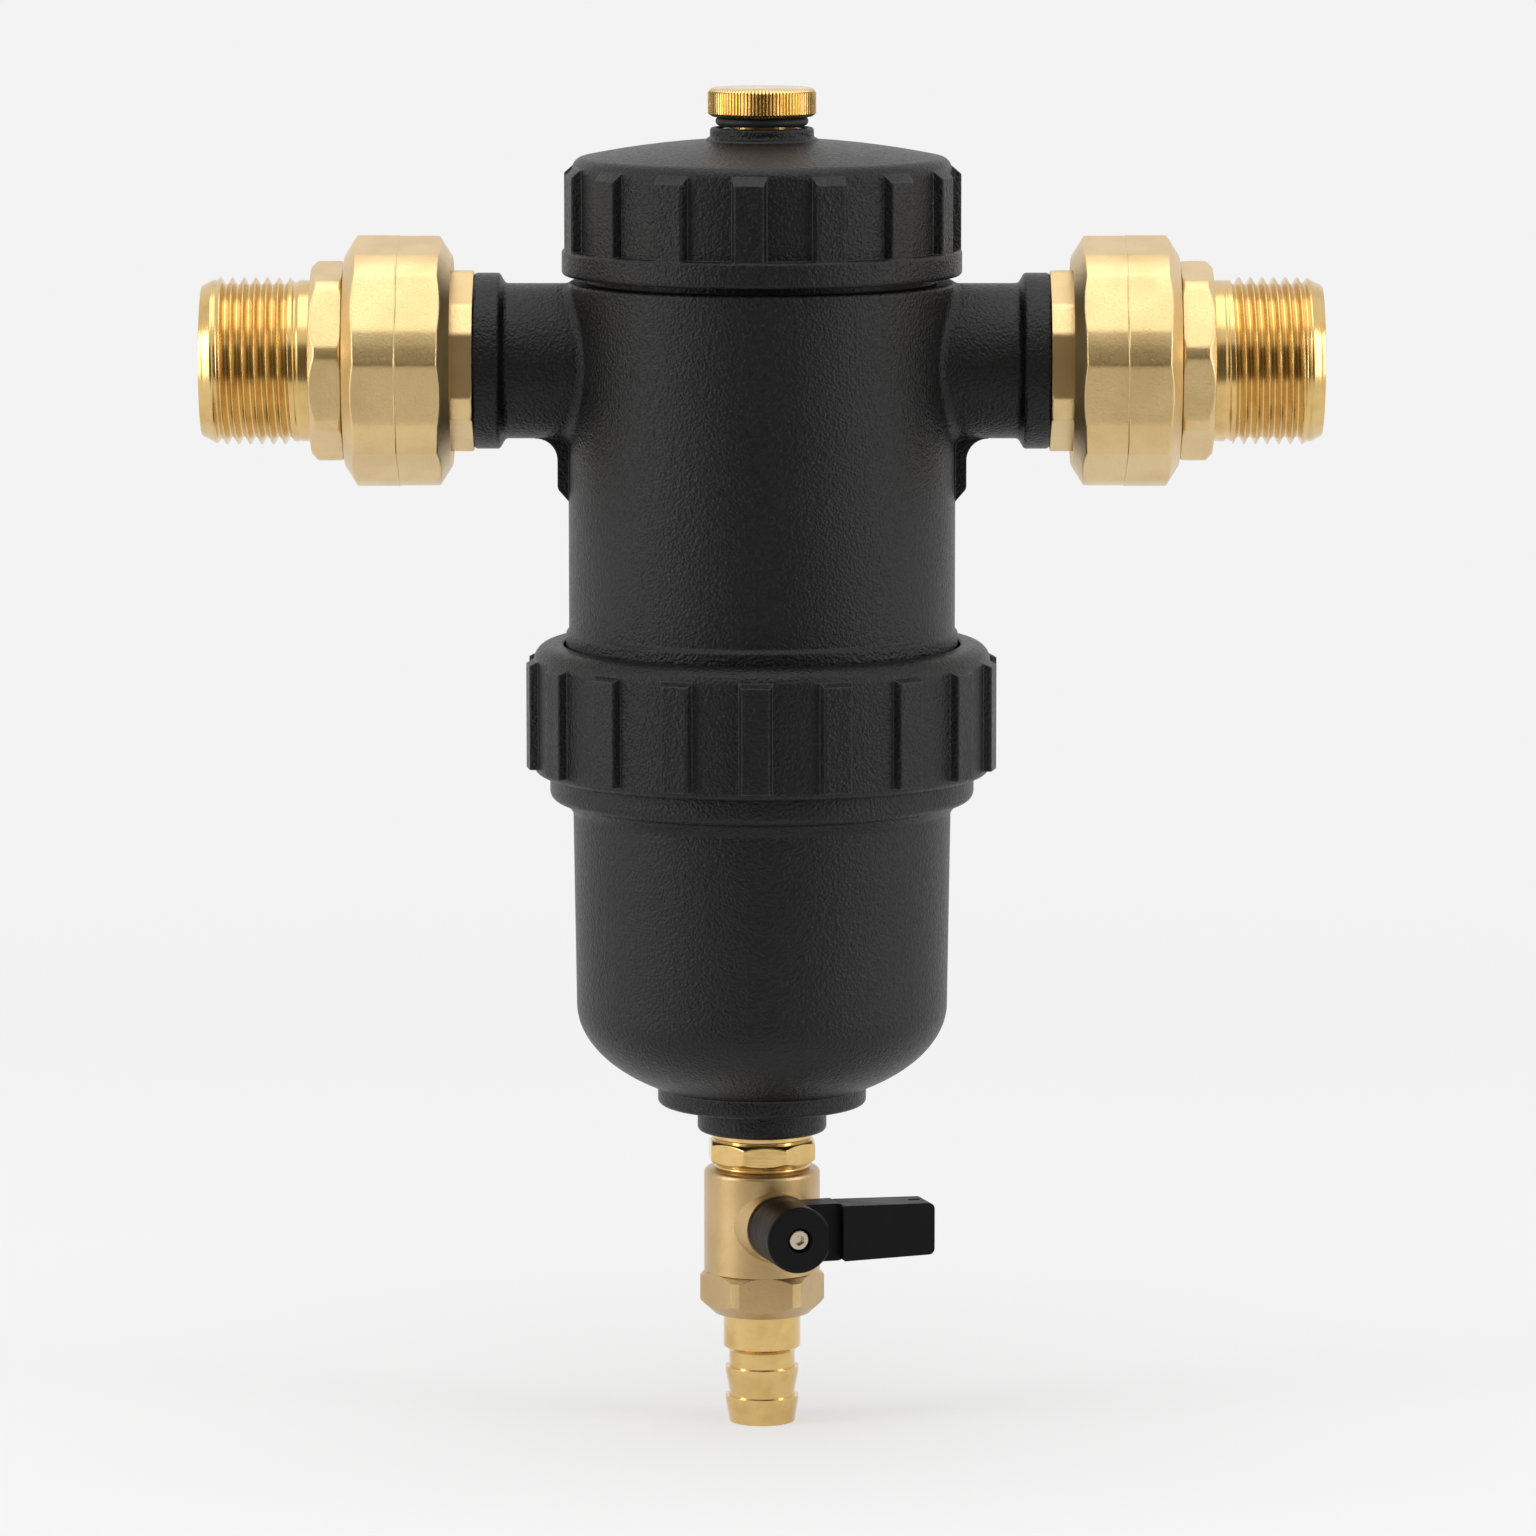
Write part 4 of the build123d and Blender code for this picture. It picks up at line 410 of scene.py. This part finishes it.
def milled(stations, angles, planes, cones, edge):
    """Radius of a bar with flat sides and conical ends, its edges softened.

    planes are angle and distance, cones are a station, the radius there and the slope."""
    station = stations[:, None]
    levels = []
    rates = []
    for facing, distance in planes:
        rate = np.broadcast_to(np.cos(angles - facing), (len(stations), len(angles)))
        rates.append(rate)
        levels.append(np.full(rate.shape, distance))
    for start, radius, slope in cones:
        tilt = np.hypot(1.0, slope)
        rates.append(np.full((len(stations), len(angles)), 1 / tilt))
        levels.append(np.broadcast_to((radius + slope * (station - start)) / tilt, rates[-1].shape))
    rates = np.stack(rates)
    levels = np.stack(levels)
    reach = np.where(rates > 0.2, levels / np.maximum(rates, 0.2), np.inf)
    radius = reach.min(axis=0)
    for _ in range(6):
        over = (rates * radius - levels) / edge
        peak = over.max(axis=0)
        weight = np.exp(over - peak)
        total = weight.sum(axis=0)
        value = edge * (peak + np.log(total))
        radius = radius - value / ((weight * rates).sum(axis=0) / total)
    return radius


def bar_planes(sides, flat, corner, turn):
    """Planes of a forged bar whose corners are flattened; a corner sits at turn."""
    planes = [(turn + tau / sides * (i + 0.5), flat / 2) for i in range(sides)]
    return planes + [(turn + tau / sides * i, corner / 2) for i in range(sides)]


def ring_angles(planes, count=240):
    """Even angles round a ring, with more of them beside each edge between two planes."""
    angles = [tau / count * i for i in range(count)]
    ordered = sorted(planes, key=lambda plane: plane[0] % tau)
    for first, second in zip(ordered, ordered[1:] + ordered[:1]):
        rise = first[1] * cos(second[0]) - second[1] * cos(first[0])
        run = second[1] * sin(first[0]) - first[1] * sin(second[0])
        edge = atan2(rise, run)
        middle = (first[0] + ((second[0] - first[0] + pi) % tau - pi) / 2) % tau
        if cos(edge - middle) < 0:
            edge += pi
        angles += [edge + radians(offset) for offset in (-0.9, -0.45, 0.0, 0.45, 0.9)]
    return np.unique(np.round(np.mod(angles, tau), 5))


def thread(stations, angles, crest, depth, hand):
    """Radius of a screw thread with rounded crests and roots; a crest starts at station 0."""
    turns = stations[:, None] / THREAD_PITCH + hand * angles[None, :] / tau
    height = np.abs(2 * (turns % 1.0) - 1)
    flank = np.clip((height - 0.12) / 0.86, 0, 1)
    rounded = flank * flank * (3 - 2 * flank)
    return crest - depth * (1 - 0.55 * flank - 0.45 * rounded)


# CAD nodes keep their shape and take their finish

for node in nodes.values():
    slot_name = node.data.materials[0].name
    if slot_name in finishes:
        node.data.materials[0] = finishes[slot_name]
for name in ("drain_valve_body", "valve_retainer"):
    nodes[name].data.materials[0] = finishes["valve"]


# Unions: each is an adapter in the port, a captive nut and a tail with the pipe thread

THREAD_PITCH = 2.309
THREAD_DEPTH = 1.48
FIRST_CREST = 4.3
EDGE_SOFTNESS = 0.09
THREAD_STEP = THREAD_PITCH / 22
THREAD_RUN_OUT = 2.3
OCTAGON_TURN = radians(9.3)
ADAPTER_TURN = radians(-27.6)
NUT_SECOND_TURN = radians(8)
NUT_SECOND_SHARE = 0.9947
ADAPTER_UPPER_CORNER = 17.4
NUT_FLATS = 47.8
NUT_CORNERS = 49.4
NUT_CHAMFER = 2.8
NUT_FACE_INSET = 3.0
NUT_LIP_THICKNESS = 5.3
TAIL_FLATS = 37.4
TAIL_CORNERS = 39.6
TAIL_CORNER_ROOM = 0.7
TAIL_NUT_CHAMFER = 1.1
TAIL_END_CHAMFER = 1.9
TAIL_NECK_LENGTH = 9.8
TAIL_OCTAGON_LENGTH = 6.3
TAIL_PLAIN_LENGTH = 4.3
TAIL_TIP_LENGTH = 3.2
TAIL_NECK_RADIUS = 16.3
TAIL_PLAIN_RADIUS = 16.0
PIPE_THREAD_RADIUS = 16.62
TAIL_TIP_RADIUS = 14.9
TAIL_BORE_RADIUS = 12.5
SNAP_RING_THICKNESS = 1.6
SNAP_RING_DEPTH = 1.1
SNAP_RING_GAP = 0.3
ADAPTER_FLATS = 33.4
ADAPTER_CORNERS = 35.8
ADAPTER_HEAD_LENGTH = 4.7
ADAPTER_CHAMFER = 0.8
ADAPTER_BORE_RADIUS = 10.5
ADAPTER_THREAD_LENGTH = 9.2
ADAPTER_THREAD_RADIUS = 18.9
ADAPTER_RELIEF = 1.4
SPIGOT_RADIUS = 13.2
SEAL_GROOVE_START = 4.1
SEAL_GROOVE_LENGTH = 1.7
SEAL_GROOVE_DEPTH = 1.6


def stations_of(node):
    """First and last station of a union piece along the pipe."""
    node_low, node_high = box_mm(node)
    ends = sorted((abs(node_low[0]), abs(node_high[0])))
    return ends[0], ends[1]


def union_tail(side_name, side):
    """Neck with the groove for the snap ring, octagon, plain neck and pipe thread."""
    start, end = stations_of(side_name + "_tail")
    place = on_pipe(side)
    octagon = start + TAIL_NECK_LENGTH
    plain = octagon + TAIL_OCTAGON_LENGTH
    screw = plain + TAIL_PLAIN_LENGTH
    tip = end - TAIL_TIP_LENGTH
    planes = bar_planes(8, TAIL_FLATS, TAIL_CORNERS, OCTAGON_TURN)
    angles = ring_angles(planes)
    nut_end = stations_of(side_name + "_union_nut")[1]
    groove_end = nut_end - NUT_LIP_THICKNESS - SNAP_RING_GAP
    groove = groove_end - SNAP_RING_THICKNESS
    floor = TAIL_NECK_RADIUS - SNAP_RING_DEPTH
    neck = turned_rings(
        place,
        angles,
        [
            (start, TAIL_BORE_RADIUS),
            (start, TAIL_NECK_RADIUS - 0.2),
            (start + 0.2, TAIL_NECK_RADIUS),
            (groove, TAIL_NECK_RADIUS),
            (groove, floor),
            (groove_end, floor),
            (groove_end, TAIL_NECK_RADIUS),
            (octagon, TAIL_NECK_RADIUS),
        ],
    )
    blank = TAIL_CORNERS / 2 + TAIL_CORNER_ROOM
    across = np.concatenate(
        [
            steps(octagon, octagon + 1.6, 0.1),
            steps(octagon + 1.9, plain - 2.6, 0.7),
            steps(plain - 2.4, plain, 0.1),
        ]
    )
    cones = [
        (octagon, blank - TAIL_NUT_CHAMFER, 1.0),
        (plain, blank - TAIL_END_CHAMFER, -1.0),
    ]
    head = place(
        across[:, None], angles[None, :], milled(across, angles, planes, cones, EDGE_SOFTNESS)
    )
    collar = turned_rings(
        place,
        angles,
        [
            (plain + 0.02, TAIL_PLAIN_RADIUS + 0.25),
            (plain + 0.25, TAIL_PLAIN_RADIUS),
            (screw - THREAD_RUN_OUT - 0.1, TAIL_PLAIN_RADIUS),
        ],
    )
    rows = steps(screw - THREAD_RUN_OUT, end, THREAD_STEP)
    first = end - FIRST_CREST
    radius = thread(rows - first, angles, PIPE_THREAD_RADIUS, THREAD_DEPTH, side)
    fade = np.clip((rows - screw) / THREAD_RUN_OUT + 1, 0, 1)[:, None]
    radius = TAIL_PLAIN_RADIUS + (radius - TAIL_PLAIN_RADIUS) * fade
    radius = np.where(rows[:, None] < screw, np.minimum(radius, TAIL_PLAIN_RADIUS), radius)
    slope = (PIPE_THREAD_RADIUS - TAIL_TIP_RADIUS) / TAIL_TIP_LENGTH
    taper = np.minimum(PIPE_THREAD_RADIUS, TAIL_TIP_RADIUS + slope * (end - rows))[:, None]
    cut = np.clip((first + 0.5 * THREAD_PITCH - rows) / THREAD_PITCH + 0.5, 0.12, 1)[:, None]
    radius = taper - np.maximum(taper - radius, 0) * cut
    screw_rings = place(rows[:, None], angles[None, :], radius)
    inside = turned_rings(
        place,
        angles,
        [(end, TAIL_BORE_RADIUS + 0.6), (end - 0.6, TAIL_BORE_RADIUS)],
    )
    rings = np.concatenate([neck, head, collar, screw_rings, inside])
    made = piece(
        side_name + "_tail_threaded",
        rings,
        side_name + "_union",
        finishes["union_tail"],
        (side_name + "_tail",),
    )
    made.data.materials.append(finishes["forged_brass"])
    count = len(angles)
    for face in made.data.polygons[(len(neck) - 1) * count:(len(neck) + len(head)) * count]:
        face.material_index = 1
    screw_row = len(neck) + len(head) + len(collar)
    smooth_rows(made.data, screw_row * count, (screw_row + len(rows)) * count)


def parting_line(stations, angles, middle, seed):
    """Raised, slightly ragged flash round the nut where the two dies met."""
    rough = np.random.default_rng(seed)
    wander = np.zeros(len(angles))
    for waves in (3, 7, 13, 29, 53):
        wander += rough.uniform(0.3, 1.0) * np.sin(waves * angles + rough.uniform(0, tau)) / waves
    offset = stations[:, None] - middle - 0.35 * wander[None, :]
    strength = 0.6 + 0.4 * np.sin(11 * angles + seed) * np.sin(5 * angles)
    ridge = 0.17 * strength[None, :] * np.exp(-((offset / 0.11) ** 2))
    step = 0.05 * np.tanh(offset / 0.12)
    return ridge + step


def union_nut(side_name, side):
    """Octagonal nut with conical ends, a die line round its middle and a screw thread inside."""
    start, end = stations_of(side_name + "_union_nut")
    place = on_pipe(side)
    planes = bar_planes(8, NUT_FLATS, NUT_CORNERS, OCTAGON_TURN)
    planes += [
        (facing + NUT_SECOND_TURN, NUT_SECOND_SHARE * distance) for facing, distance in planes[8:]
    ]
    angles = ring_angles(planes, 300)
    middle = (start + end) / 2
    across = np.concatenate(
        [
            steps(start, start + 3.8, 0.12),
            steps(start + 4.4, middle - 0.9, 0.8),
            steps(middle - 0.6, middle + 0.6, 0.05),
            steps(middle + 0.9, end - 4.4, 0.8),
            steps(end - 3.8, end, 0.12),
        ]
    )
    blank = NUT_CORNERS / 2 + TAIL_CORNER_ROOM
    slope = (blank - NUT_FLATS / 2 + NUT_FACE_INSET) / NUT_CHAMFER
    cones = [
        (start, NUT_FLATS / 2 - NUT_FACE_INSET, slope),
        (end, NUT_FLATS / 2 - NUT_FACE_INSET, -slope),
    ]
    radius = milled(across, angles, planes, cones, EDGE_SOFTNESS)
    radius += parting_line(across, angles, middle, 3 + side)
    outside = place(across[:, None], angles[None, :], radius)
    lip = end - NUT_LIP_THICKNESS
    inner = ADAPTER_THREAD_RADIUS + 0.3
    hole = turned_rings(
        place,
        angles,
        [
            (end, TAIL_NECK_RADIUS + 0.9),
            (end - 0.6, TAIL_NECK_RADIUS + 0.3),
            (lip, TAIL_NECK_RADIUS + 0.3),
            (lip, inner),
        ],
    )
    rows = steps(lip - 0.5, start, THREAD_STEP * 3)
    depth = 0.9
    screw = thread(rows - start, angles, inner + depth, depth, side)
    mouth = inner + 0.2 + (start + 1.2 - rows)[:, None]
    screw_rings = place(rows[:, None], angles[None, :], np.maximum(screw, mouth))
    rings = np.concatenate([outside, hole, screw_rings])
    piece(
        side_name + "_nut_forged",
        rings,
        side_name + "_nut",
        finishes["forged_brass"],
        (side_name + "_union_nut",),
    )


def union_adapter(side_name, side):
    """Spigot with its seal groove, hexagon, relief and the thread that takes the nut."""
    start, end = stations_of(side_name + "_adapter")
    place = on_pipe(side)
    relief_start = end - ADAPTER_THREAD_LENGTH
    head_start = relief_start - ADAPTER_HEAD_LENGTH
    planes = bar_planes(6, ADAPTER_FLATS, ADAPTER_CORNERS, ADAPTER_TURN)
    planes.append((ADAPTER_TURN + tau / 6, ADAPTER_UPPER_CORNER))
    angles = ring_angles(planes)
    groove_end = head_start - SEAL_GROOVE_START + SEAL_GROOVE_LENGTH
    groove = head_start - SEAL_GROOVE_START
    floor = SPIGOT_RADIUS - SEAL_GROOVE_DEPTH
    spigot = turned_rings(
        place,
        angles,
        [
            (start, ADAPTER_BORE_RADIUS),
            (start, SPIGOT_RADIUS),
            (groove, SPIGOT_RADIUS),
            (groove, floor),
            (groove_end, floor),
            (groove_end, SPIGOT_RADIUS),
            (head_start, SPIGOT_RADIUS),
        ],
    )
    across = np.concatenate(
        [
            steps(head_start, head_start + 1.2, 0.1),
            steps(head_start + 1.6, relief_start - 1.6, 0.6),
            steps(relief_start - 1.2, relief_start, 0.1),
        ]
    )
    blank = ADAPTER_CORNERS / 2 + TAIL_CORNER_ROOM
    cones = [
        (head_start, blank - ADAPTER_CHAMFER, 1.0),
        (relief_start, blank - ADAPTER_CHAMFER, -1.0),
    ]
    head = place(
        across[:, None], angles[None, :], milled(across, angles, planes, cones, EDGE_SOFTNESS)
    )
    rows = steps(relief_start + 0.4, end, THREAD_STEP * 1.5)
    screw = thread(rows - end, angles, ADAPTER_THREAD_RADIUS, 1.2, side)
    waist = ADAPTER_THREAD_RADIUS - ADAPTER_RELIEF
    lead_in = waist + (rows - relief_start - 0.4)[:, None]
    lead_out = waist + (end - rows)[:, None]
    screw = np.minimum(screw, np.minimum(lead_in, lead_out))
    screw_rings = place(rows[:, None], angles[None, :], screw)
    inside = turned_rings(
        place,
        angles,
        [
            (relief_start + 0.02, waist),
        ],
    )
    hole = turned_rings(
        place,
        angles,
        [(end, ADAPTER_BORE_RADIUS + 0.5), (end - 0.5, ADAPTER_BORE_RADIUS)],
    )
    rings = np.concatenate([spigot, head, inside, screw_rings, hole])
    piece(
        side_name + "_adapter_threaded",
        rings,
        "root",
        finishes["forged_brass"],
        (side_name + "_adapter",),
    )


for side_name, side in (("inlet", -1), ("outlet", 1)):
    union_tail(side_name, side)
    union_nut(side_name, side)
    union_adapter(side_name, side)


# Knob with its knurl

KNOB_TEETH = 92
KNOB_TOOTH_DEPTH = 0.5
KNOB_CHAMFER = 0.8
KNOB_FOOT_CHAMFER = 0.5
KNOB_HEIGHT = 5.6
KNOB_NECK_RADIUS = 7.3
KNOB_SEAL_SECTION = 1.9
KNOB_SHANK_RADIUS = 6.6
SPINDLE_RADIUS = 2.5
SPINDLE_GRIP = 4.5


def magnet_knob():
    """Turned knob with a straight knurl between its chamfers."""
    node_low, node_high = box_mm("magnet_knob")
    foot, top = node_low[2], node_high[2]
    outer = node_high[0]
    per_tooth = 8
    angles = np.arange(KNOB_TEETH * per_tooth) * tau / (KNOB_TEETH * per_tooth)
    tooth = np.abs(2 * ((angles * KNOB_TEETH / tau) % 1.0) - 1)
    knurl = outer - KNOB_TOOTH_DEPTH * np.clip(tooth * 1.5 - 0.25, 0, 1) ** 1.4
    knob = top - KNOB_HEIGHT
    band = steps(knob + KNOB_FOOT_CHAMFER * 1.2, top - KNOB_CHAMFER * 0.7, 0.12)
    upper = outer - KNOB_CHAMFER + (top - band)
    lower = outer - KNOB_FOOT_CHAMFER + (band - knob)
    limit = np.minimum(upper, lower)[:, None]
    radius = np.minimum(np.broadcast_to(knurl, (len(band), len(angles))), limit)
    grip = upright(band[:, None], angles[None, :], radius)
    foot_rings = turned_rings(
        upright,
        angles,
        [
            (foot + SPINDLE_GRIP, SPINDLE_RADIUS),
            (foot, SPINDLE_RADIUS),
            (foot, KNOB_SHANK_RADIUS),
            (knob - KNOB_SEAL_SECTION, KNOB_SHANK_RADIUS),
            (knob - KNOB_SEAL_SECTION, KNOB_NECK_RADIUS),
            (knob, KNOB_NECK_RADIUS),
            (knob, outer - KNOB_FOOT_CHAMFER - 0.3),
        ],
    )
    top_rings = turned_rings(
        upright,
        angles,
        [
            (top - 0.08, outer - KNOB_CHAMFER + 0.06),
            (top, outer - KNOB_CHAMFER - 0.1),
        ],
    )
    piece(
        "magnet_knob_knurled",
        np.concatenate([foot_rings, grip, top_rings]),
        "magnet_rod",
        finishes["knob"],
        ("magnet_knob",),
        closed=False,
    )


magnet_knob()


# Drain adapter

DRAIN_COLLAR_RADIUS = 10.1
DRAIN_COLLAR_HEIGHT = 1.8
DRAIN_FLATS = 20.9
DRAIN_HEAD_HEIGHT = 4.4
DRAIN_TURN = radians(26)
DRAIN_CHAMFER = 0.7
DRAIN_NECK_RADIUS = 9.6
DRAIN_NECK_HEIGHT = 1.4
DRAIN_SPIGOT_RADIUS = 8.3
DRAIN_BORE_RADIUS = 5.0
DRAIN_SEAL_SECTION = 1.5


def drain_adapter():
    """Nipple with a sealing collar, an octagon and the last turns of its thread at the neck."""
    foot = box_mm("drain_adapter")[0][2]
    top = box_mm("drain_adapter")[1][2]
    valve_top = box_mm("drain_valve_body")[1][2]
    boss = box_mm("bowl")[0][2]
    octagon = valve_top + DRAIN_NECK_HEIGHT
    collar = octagon + DRAIN_HEAD_HEIGHT
    groove = boss + DRAIN_COLLAR_HEIGHT
    planes = [(DRAIN_TURN + tau / 8 * (i + 0.5), DRAIN_FLATS / 2) for i in range(8)]
    angles = ring_angles(planes)
    below = turned_rings(
        upright,
        angles,
        [
            (foot, DRAIN_BORE_RADIUS),
            (foot, DRAIN_SPIGOT_RADIUS),
            (valve_top, DRAIN_SPIGOT_RADIUS),
        ],
    )
    rows = steps(valve_top + 0.01, octagon - 0.05, 0.06)
    neck = DRAIN_NECK_RADIUS + 0.05 - 0.28 * (1 - np.abs(np.sin(pi * (rows - valve_top) / 1.0)))
    neck_rings = upright(rows[:, None], angles[None, :], neck[:, None])
    across = np.concatenate(
        [
            steps(octagon, octagon + 1.3, 0.08),
            steps(octagon + 1.6, collar - 1.6, 0.5),
            steps(collar - 1.3, collar, 0.08),
        ]
    )
    slope = (DRAIN_FLATS / 2 / cos(pi / 8) - DRAIN_FLATS / 2 + 0.2) / DRAIN_CHAMFER
    face = DRAIN_FLATS / 2 - 0.2
    cones = [(octagon, face, slope), (collar, face, -slope)]
    head = upright(
        across[:, None], angles[None, :], milled(across, angles, planes, cones, 0.05)
    )
    above = turned_rings(
        upright,
        angles,
        [
            (collar + 0.02, DRAIN_COLLAR_RADIUS - 1.1),
            (collar + 0.35, DRAIN_COLLAR_RADIUS - 1.1),
            (collar + 0.5, DRAIN_COLLAR_RADIUS - 0.15),
            (collar + 0.7, DRAIN_COLLAR_RADIUS),
            (boss - 0.35, DRAIN_COLLAR_RADIUS),
            (boss - 0.05, DRAIN_COLLAR_RADIUS - 0.3),
            (boss - 0.05, DRAIN_SPIGOT_RADIUS),
            (groove, DRAIN_SPIGOT_RADIUS),
            (groove, DRAIN_SPIGOT_RADIUS - DRAIN_SEAL_SECTION),
            (groove + DRAIN_SEAL_SECTION, DRAIN_SPIGOT_RADIUS - DRAIN_SEAL_SECTION),
            (groove + DRAIN_SEAL_SECTION, DRAIN_SPIGOT_RADIUS),
            (top, DRAIN_SPIGOT_RADIUS),
            (top, DRAIN_BORE_RADIUS),
        ],
    )
    piece(
        "drain_adapter_turned",
        np.concatenate([below, neck_rings, head, above]),
        "bowl_unit",
        finishes["turned_brass"],
        ("drain_adapter",),
    )


drain_adapter()


# Stage: floor, lights and camera

FLOOR_SIZE = 12.0
BACKGROUND = linear(243, 243, 243)
FLOOR_PAINT = linear(243, 243, 243)
DIFFUSE_LEVEL = 0.62
FLOOR_NEAR = 0.55


def seen_directly(tree):
    """1 for rays that show the background: camera, mirror-like and transmitted ones."""
    path = add(tree, "LightPath")
    kinds = ("Is Camera Ray", "Is Glossy Ray", "Is Transmission Ray")
    first, second, third = (path.outputs[kind] for kind in kinds)
    return math(tree, "MAXIMUM", math(tree, "MAXIMUM", first, second), third)


def make_floor():
    """Plain pale floor that shows the object's shadow, and is open from below."""
    mesh = bpy.data.meshes.new("floor")
    half = FLOOR_SIZE / 2
    corners = [(-half, -half, 0), (half, -half, 0), (half, half, 0), (-half, half, 0)]
    mesh.from_pydata([(x, y, z - 0.05 * MM) for x, y, z in corners], [], [(0, 1, 2, 3)])
    floor = bpy.data.objects.new("floor", mesh)
    bpy.context.collection.objects.link(floor)
    material, tree, shader = new_material("floor_pale")
    shader.inputs["Base Color"].default_value = (*FLOOR_PAINT, 1.0)
    shader.inputs["Roughness"].default_value = 0.9
    shader.inputs["Specular IOR Level"].default_value = 0.0
    glow = add(tree, "Emission", {"Color": (*BACKGROUND, 1.0), "Strength": 1.0})
    place = add(tree, "TexCoord").outputs["Object"]
    away = add(tree, "VectorMath", {0: place}, operation="LENGTH").outputs["Value"]
    plain = spread(tree, away, 0.12, 0.8, FLOOR_NEAR, 1.0)
    share = math(tree, "MULTIPLY", seen_directly(tree), plain)
    mix = add(
        tree, "MixShader", {0: share, 1: shader.outputs["BSDF"], 2: glow.outputs["Emission"]}
    )
    clear = add(tree, "BsdfTransparent")
    below = add(tree, "NewGeometry").outputs["Backfacing"]
    both = add(tree, "MixShader", {0: below, 1: mix.outputs[0], 2: clear.outputs[0]})
    tree.links.new(both.outputs[0], tree.nodes["Material Output"].inputs["Surface"])
    mesh.materials.append(material)


def make_world():
    """Pale backdrop all round, and softer light on matt surfaces."""
    world = bpy.data.worlds.new("studio")
    world.use_nodes = True
    bpy.context.scene.world = world
    tree = world.node_tree
    background = tree.nodes["Background"]
    seen = seen_directly(tree)
    tint = blend_colour(tree, seen, (1.0, 1.0, 1.0), BACKGROUND)
    strength = add(tree, "Mix", {0: seen, 2: DIFFUSE_LEVEL, 3: 1.0}).outputs[0]
    tree.links.new(tint, background.inputs["Color"])
    tree.links.new(strength, background.inputs["Strength"])


def make_card():
    """Grey card in front, seen only in reflections, that gives the dark bands of a studio shot."""
    rows = 12
    points = []
    for i in range(rows + 1):
        turn = pi / 2 * i / rows
        y = -CARD_NEAR - CARD_DEPTH * sin(turn)
        z = 2 * MM + CARD_TOP * (1 - cos(turn))
        points += [(-CARD_HALF_WIDTH, y, z), (CARD_HALF_WIDTH, y, z)]
    faces = [(2 * i, 2 * i + 1, 2 * i + 3, 2 * i + 2) for i in range(rows)]
    mesh = bpy.data.meshes.new("card")
    mesh.from_pydata(points, [], faces)
    card = bpy.data.objects.new("card", mesh)
    bpy.context.collection.objects.link(card)
    card.visible_camera = False
    card.visible_diffuse = False
    card.visible_shadow = False
    material, _, shader = new_material("card_grey")
    shader.inputs["Base Color"].default_value = (*CARD_GREY, 1.0)
    shader.inputs["Roughness"].default_value = 0.9
    shader.inputs["Specular IOR Level"].default_value = 0.0
    mesh.materials.append(material)


def soft_box(name, place, aim, width, height, power):
    """Area lamp that points at aim; metres and watts."""
    lamp = bpy.data.lights.new(name, "AREA")
    lamp.shape = "RECTANGLE"
    lamp.size = width
    lamp.size_y = height
    lamp.energy = power
    box = bpy.data.objects.new(name, lamp)
    box.location = place
    box.rotation_mode = "QUATERNION"
    box.rotation_quaternion = (Vector(aim) - Vector(place)).to_track_quat("-Z", "Y")
    bpy.context.collection.objects.link(box)


CARD_NEAR = 0.46
CARD_DEPTH = 0.54
CARD_TOP = 0.75
CARD_HALF_WIDTH = 0.75
CARD_GREY = (0.13, 0.115, 0.09)
CAMERA_DISTANCE = 1.65
CAMERA_HEIGHT = 0.3558
CAMERA_TILT = 7.7
CAMERA_LENS = 195.3
AXIS_OFFSET = 0.0012
MIDDLE = (0.0, 0.0, 0.16)
STRIP_ANGLE = radians(70)


def make_camera():
    """Camera at the photograph's angle, a little above the object and tilted down."""
    data = bpy.data.cameras.new("camera")
    data.sensor_width = 36.0
    data.lens = CAMERA_LENS
    camera = bpy.data.objects.new("camera", data)
    camera.location = (AXIS_OFFSET, -CAMERA_DISTANCE, CAMERA_HEIGHT)
    camera.rotation_euler = (radians(90 - CAMERA_TILT), 0, 0)
    bpy.context.collection.objects.link(camera)
    bpy.context.scene.camera = camera


make_floor()
make_world()
make_card()
soft_box("top", (0.0, -0.2, 1.5), (0.0, -0.05, 0.0), 1.6, 1.4, 10.0)
for name, side, power in (("strip_left", -1, 3.8), ("strip_right", 1, 3.2)):
    place = (side * sin(STRIP_ANGLE), -cos(STRIP_ANGLE), 0.28)
    soft_box(name, place, MIDDLE, 0.3, 0.9, power)
make_camera()
bpy.context.scene.view_settings.view_transform = "Standard"
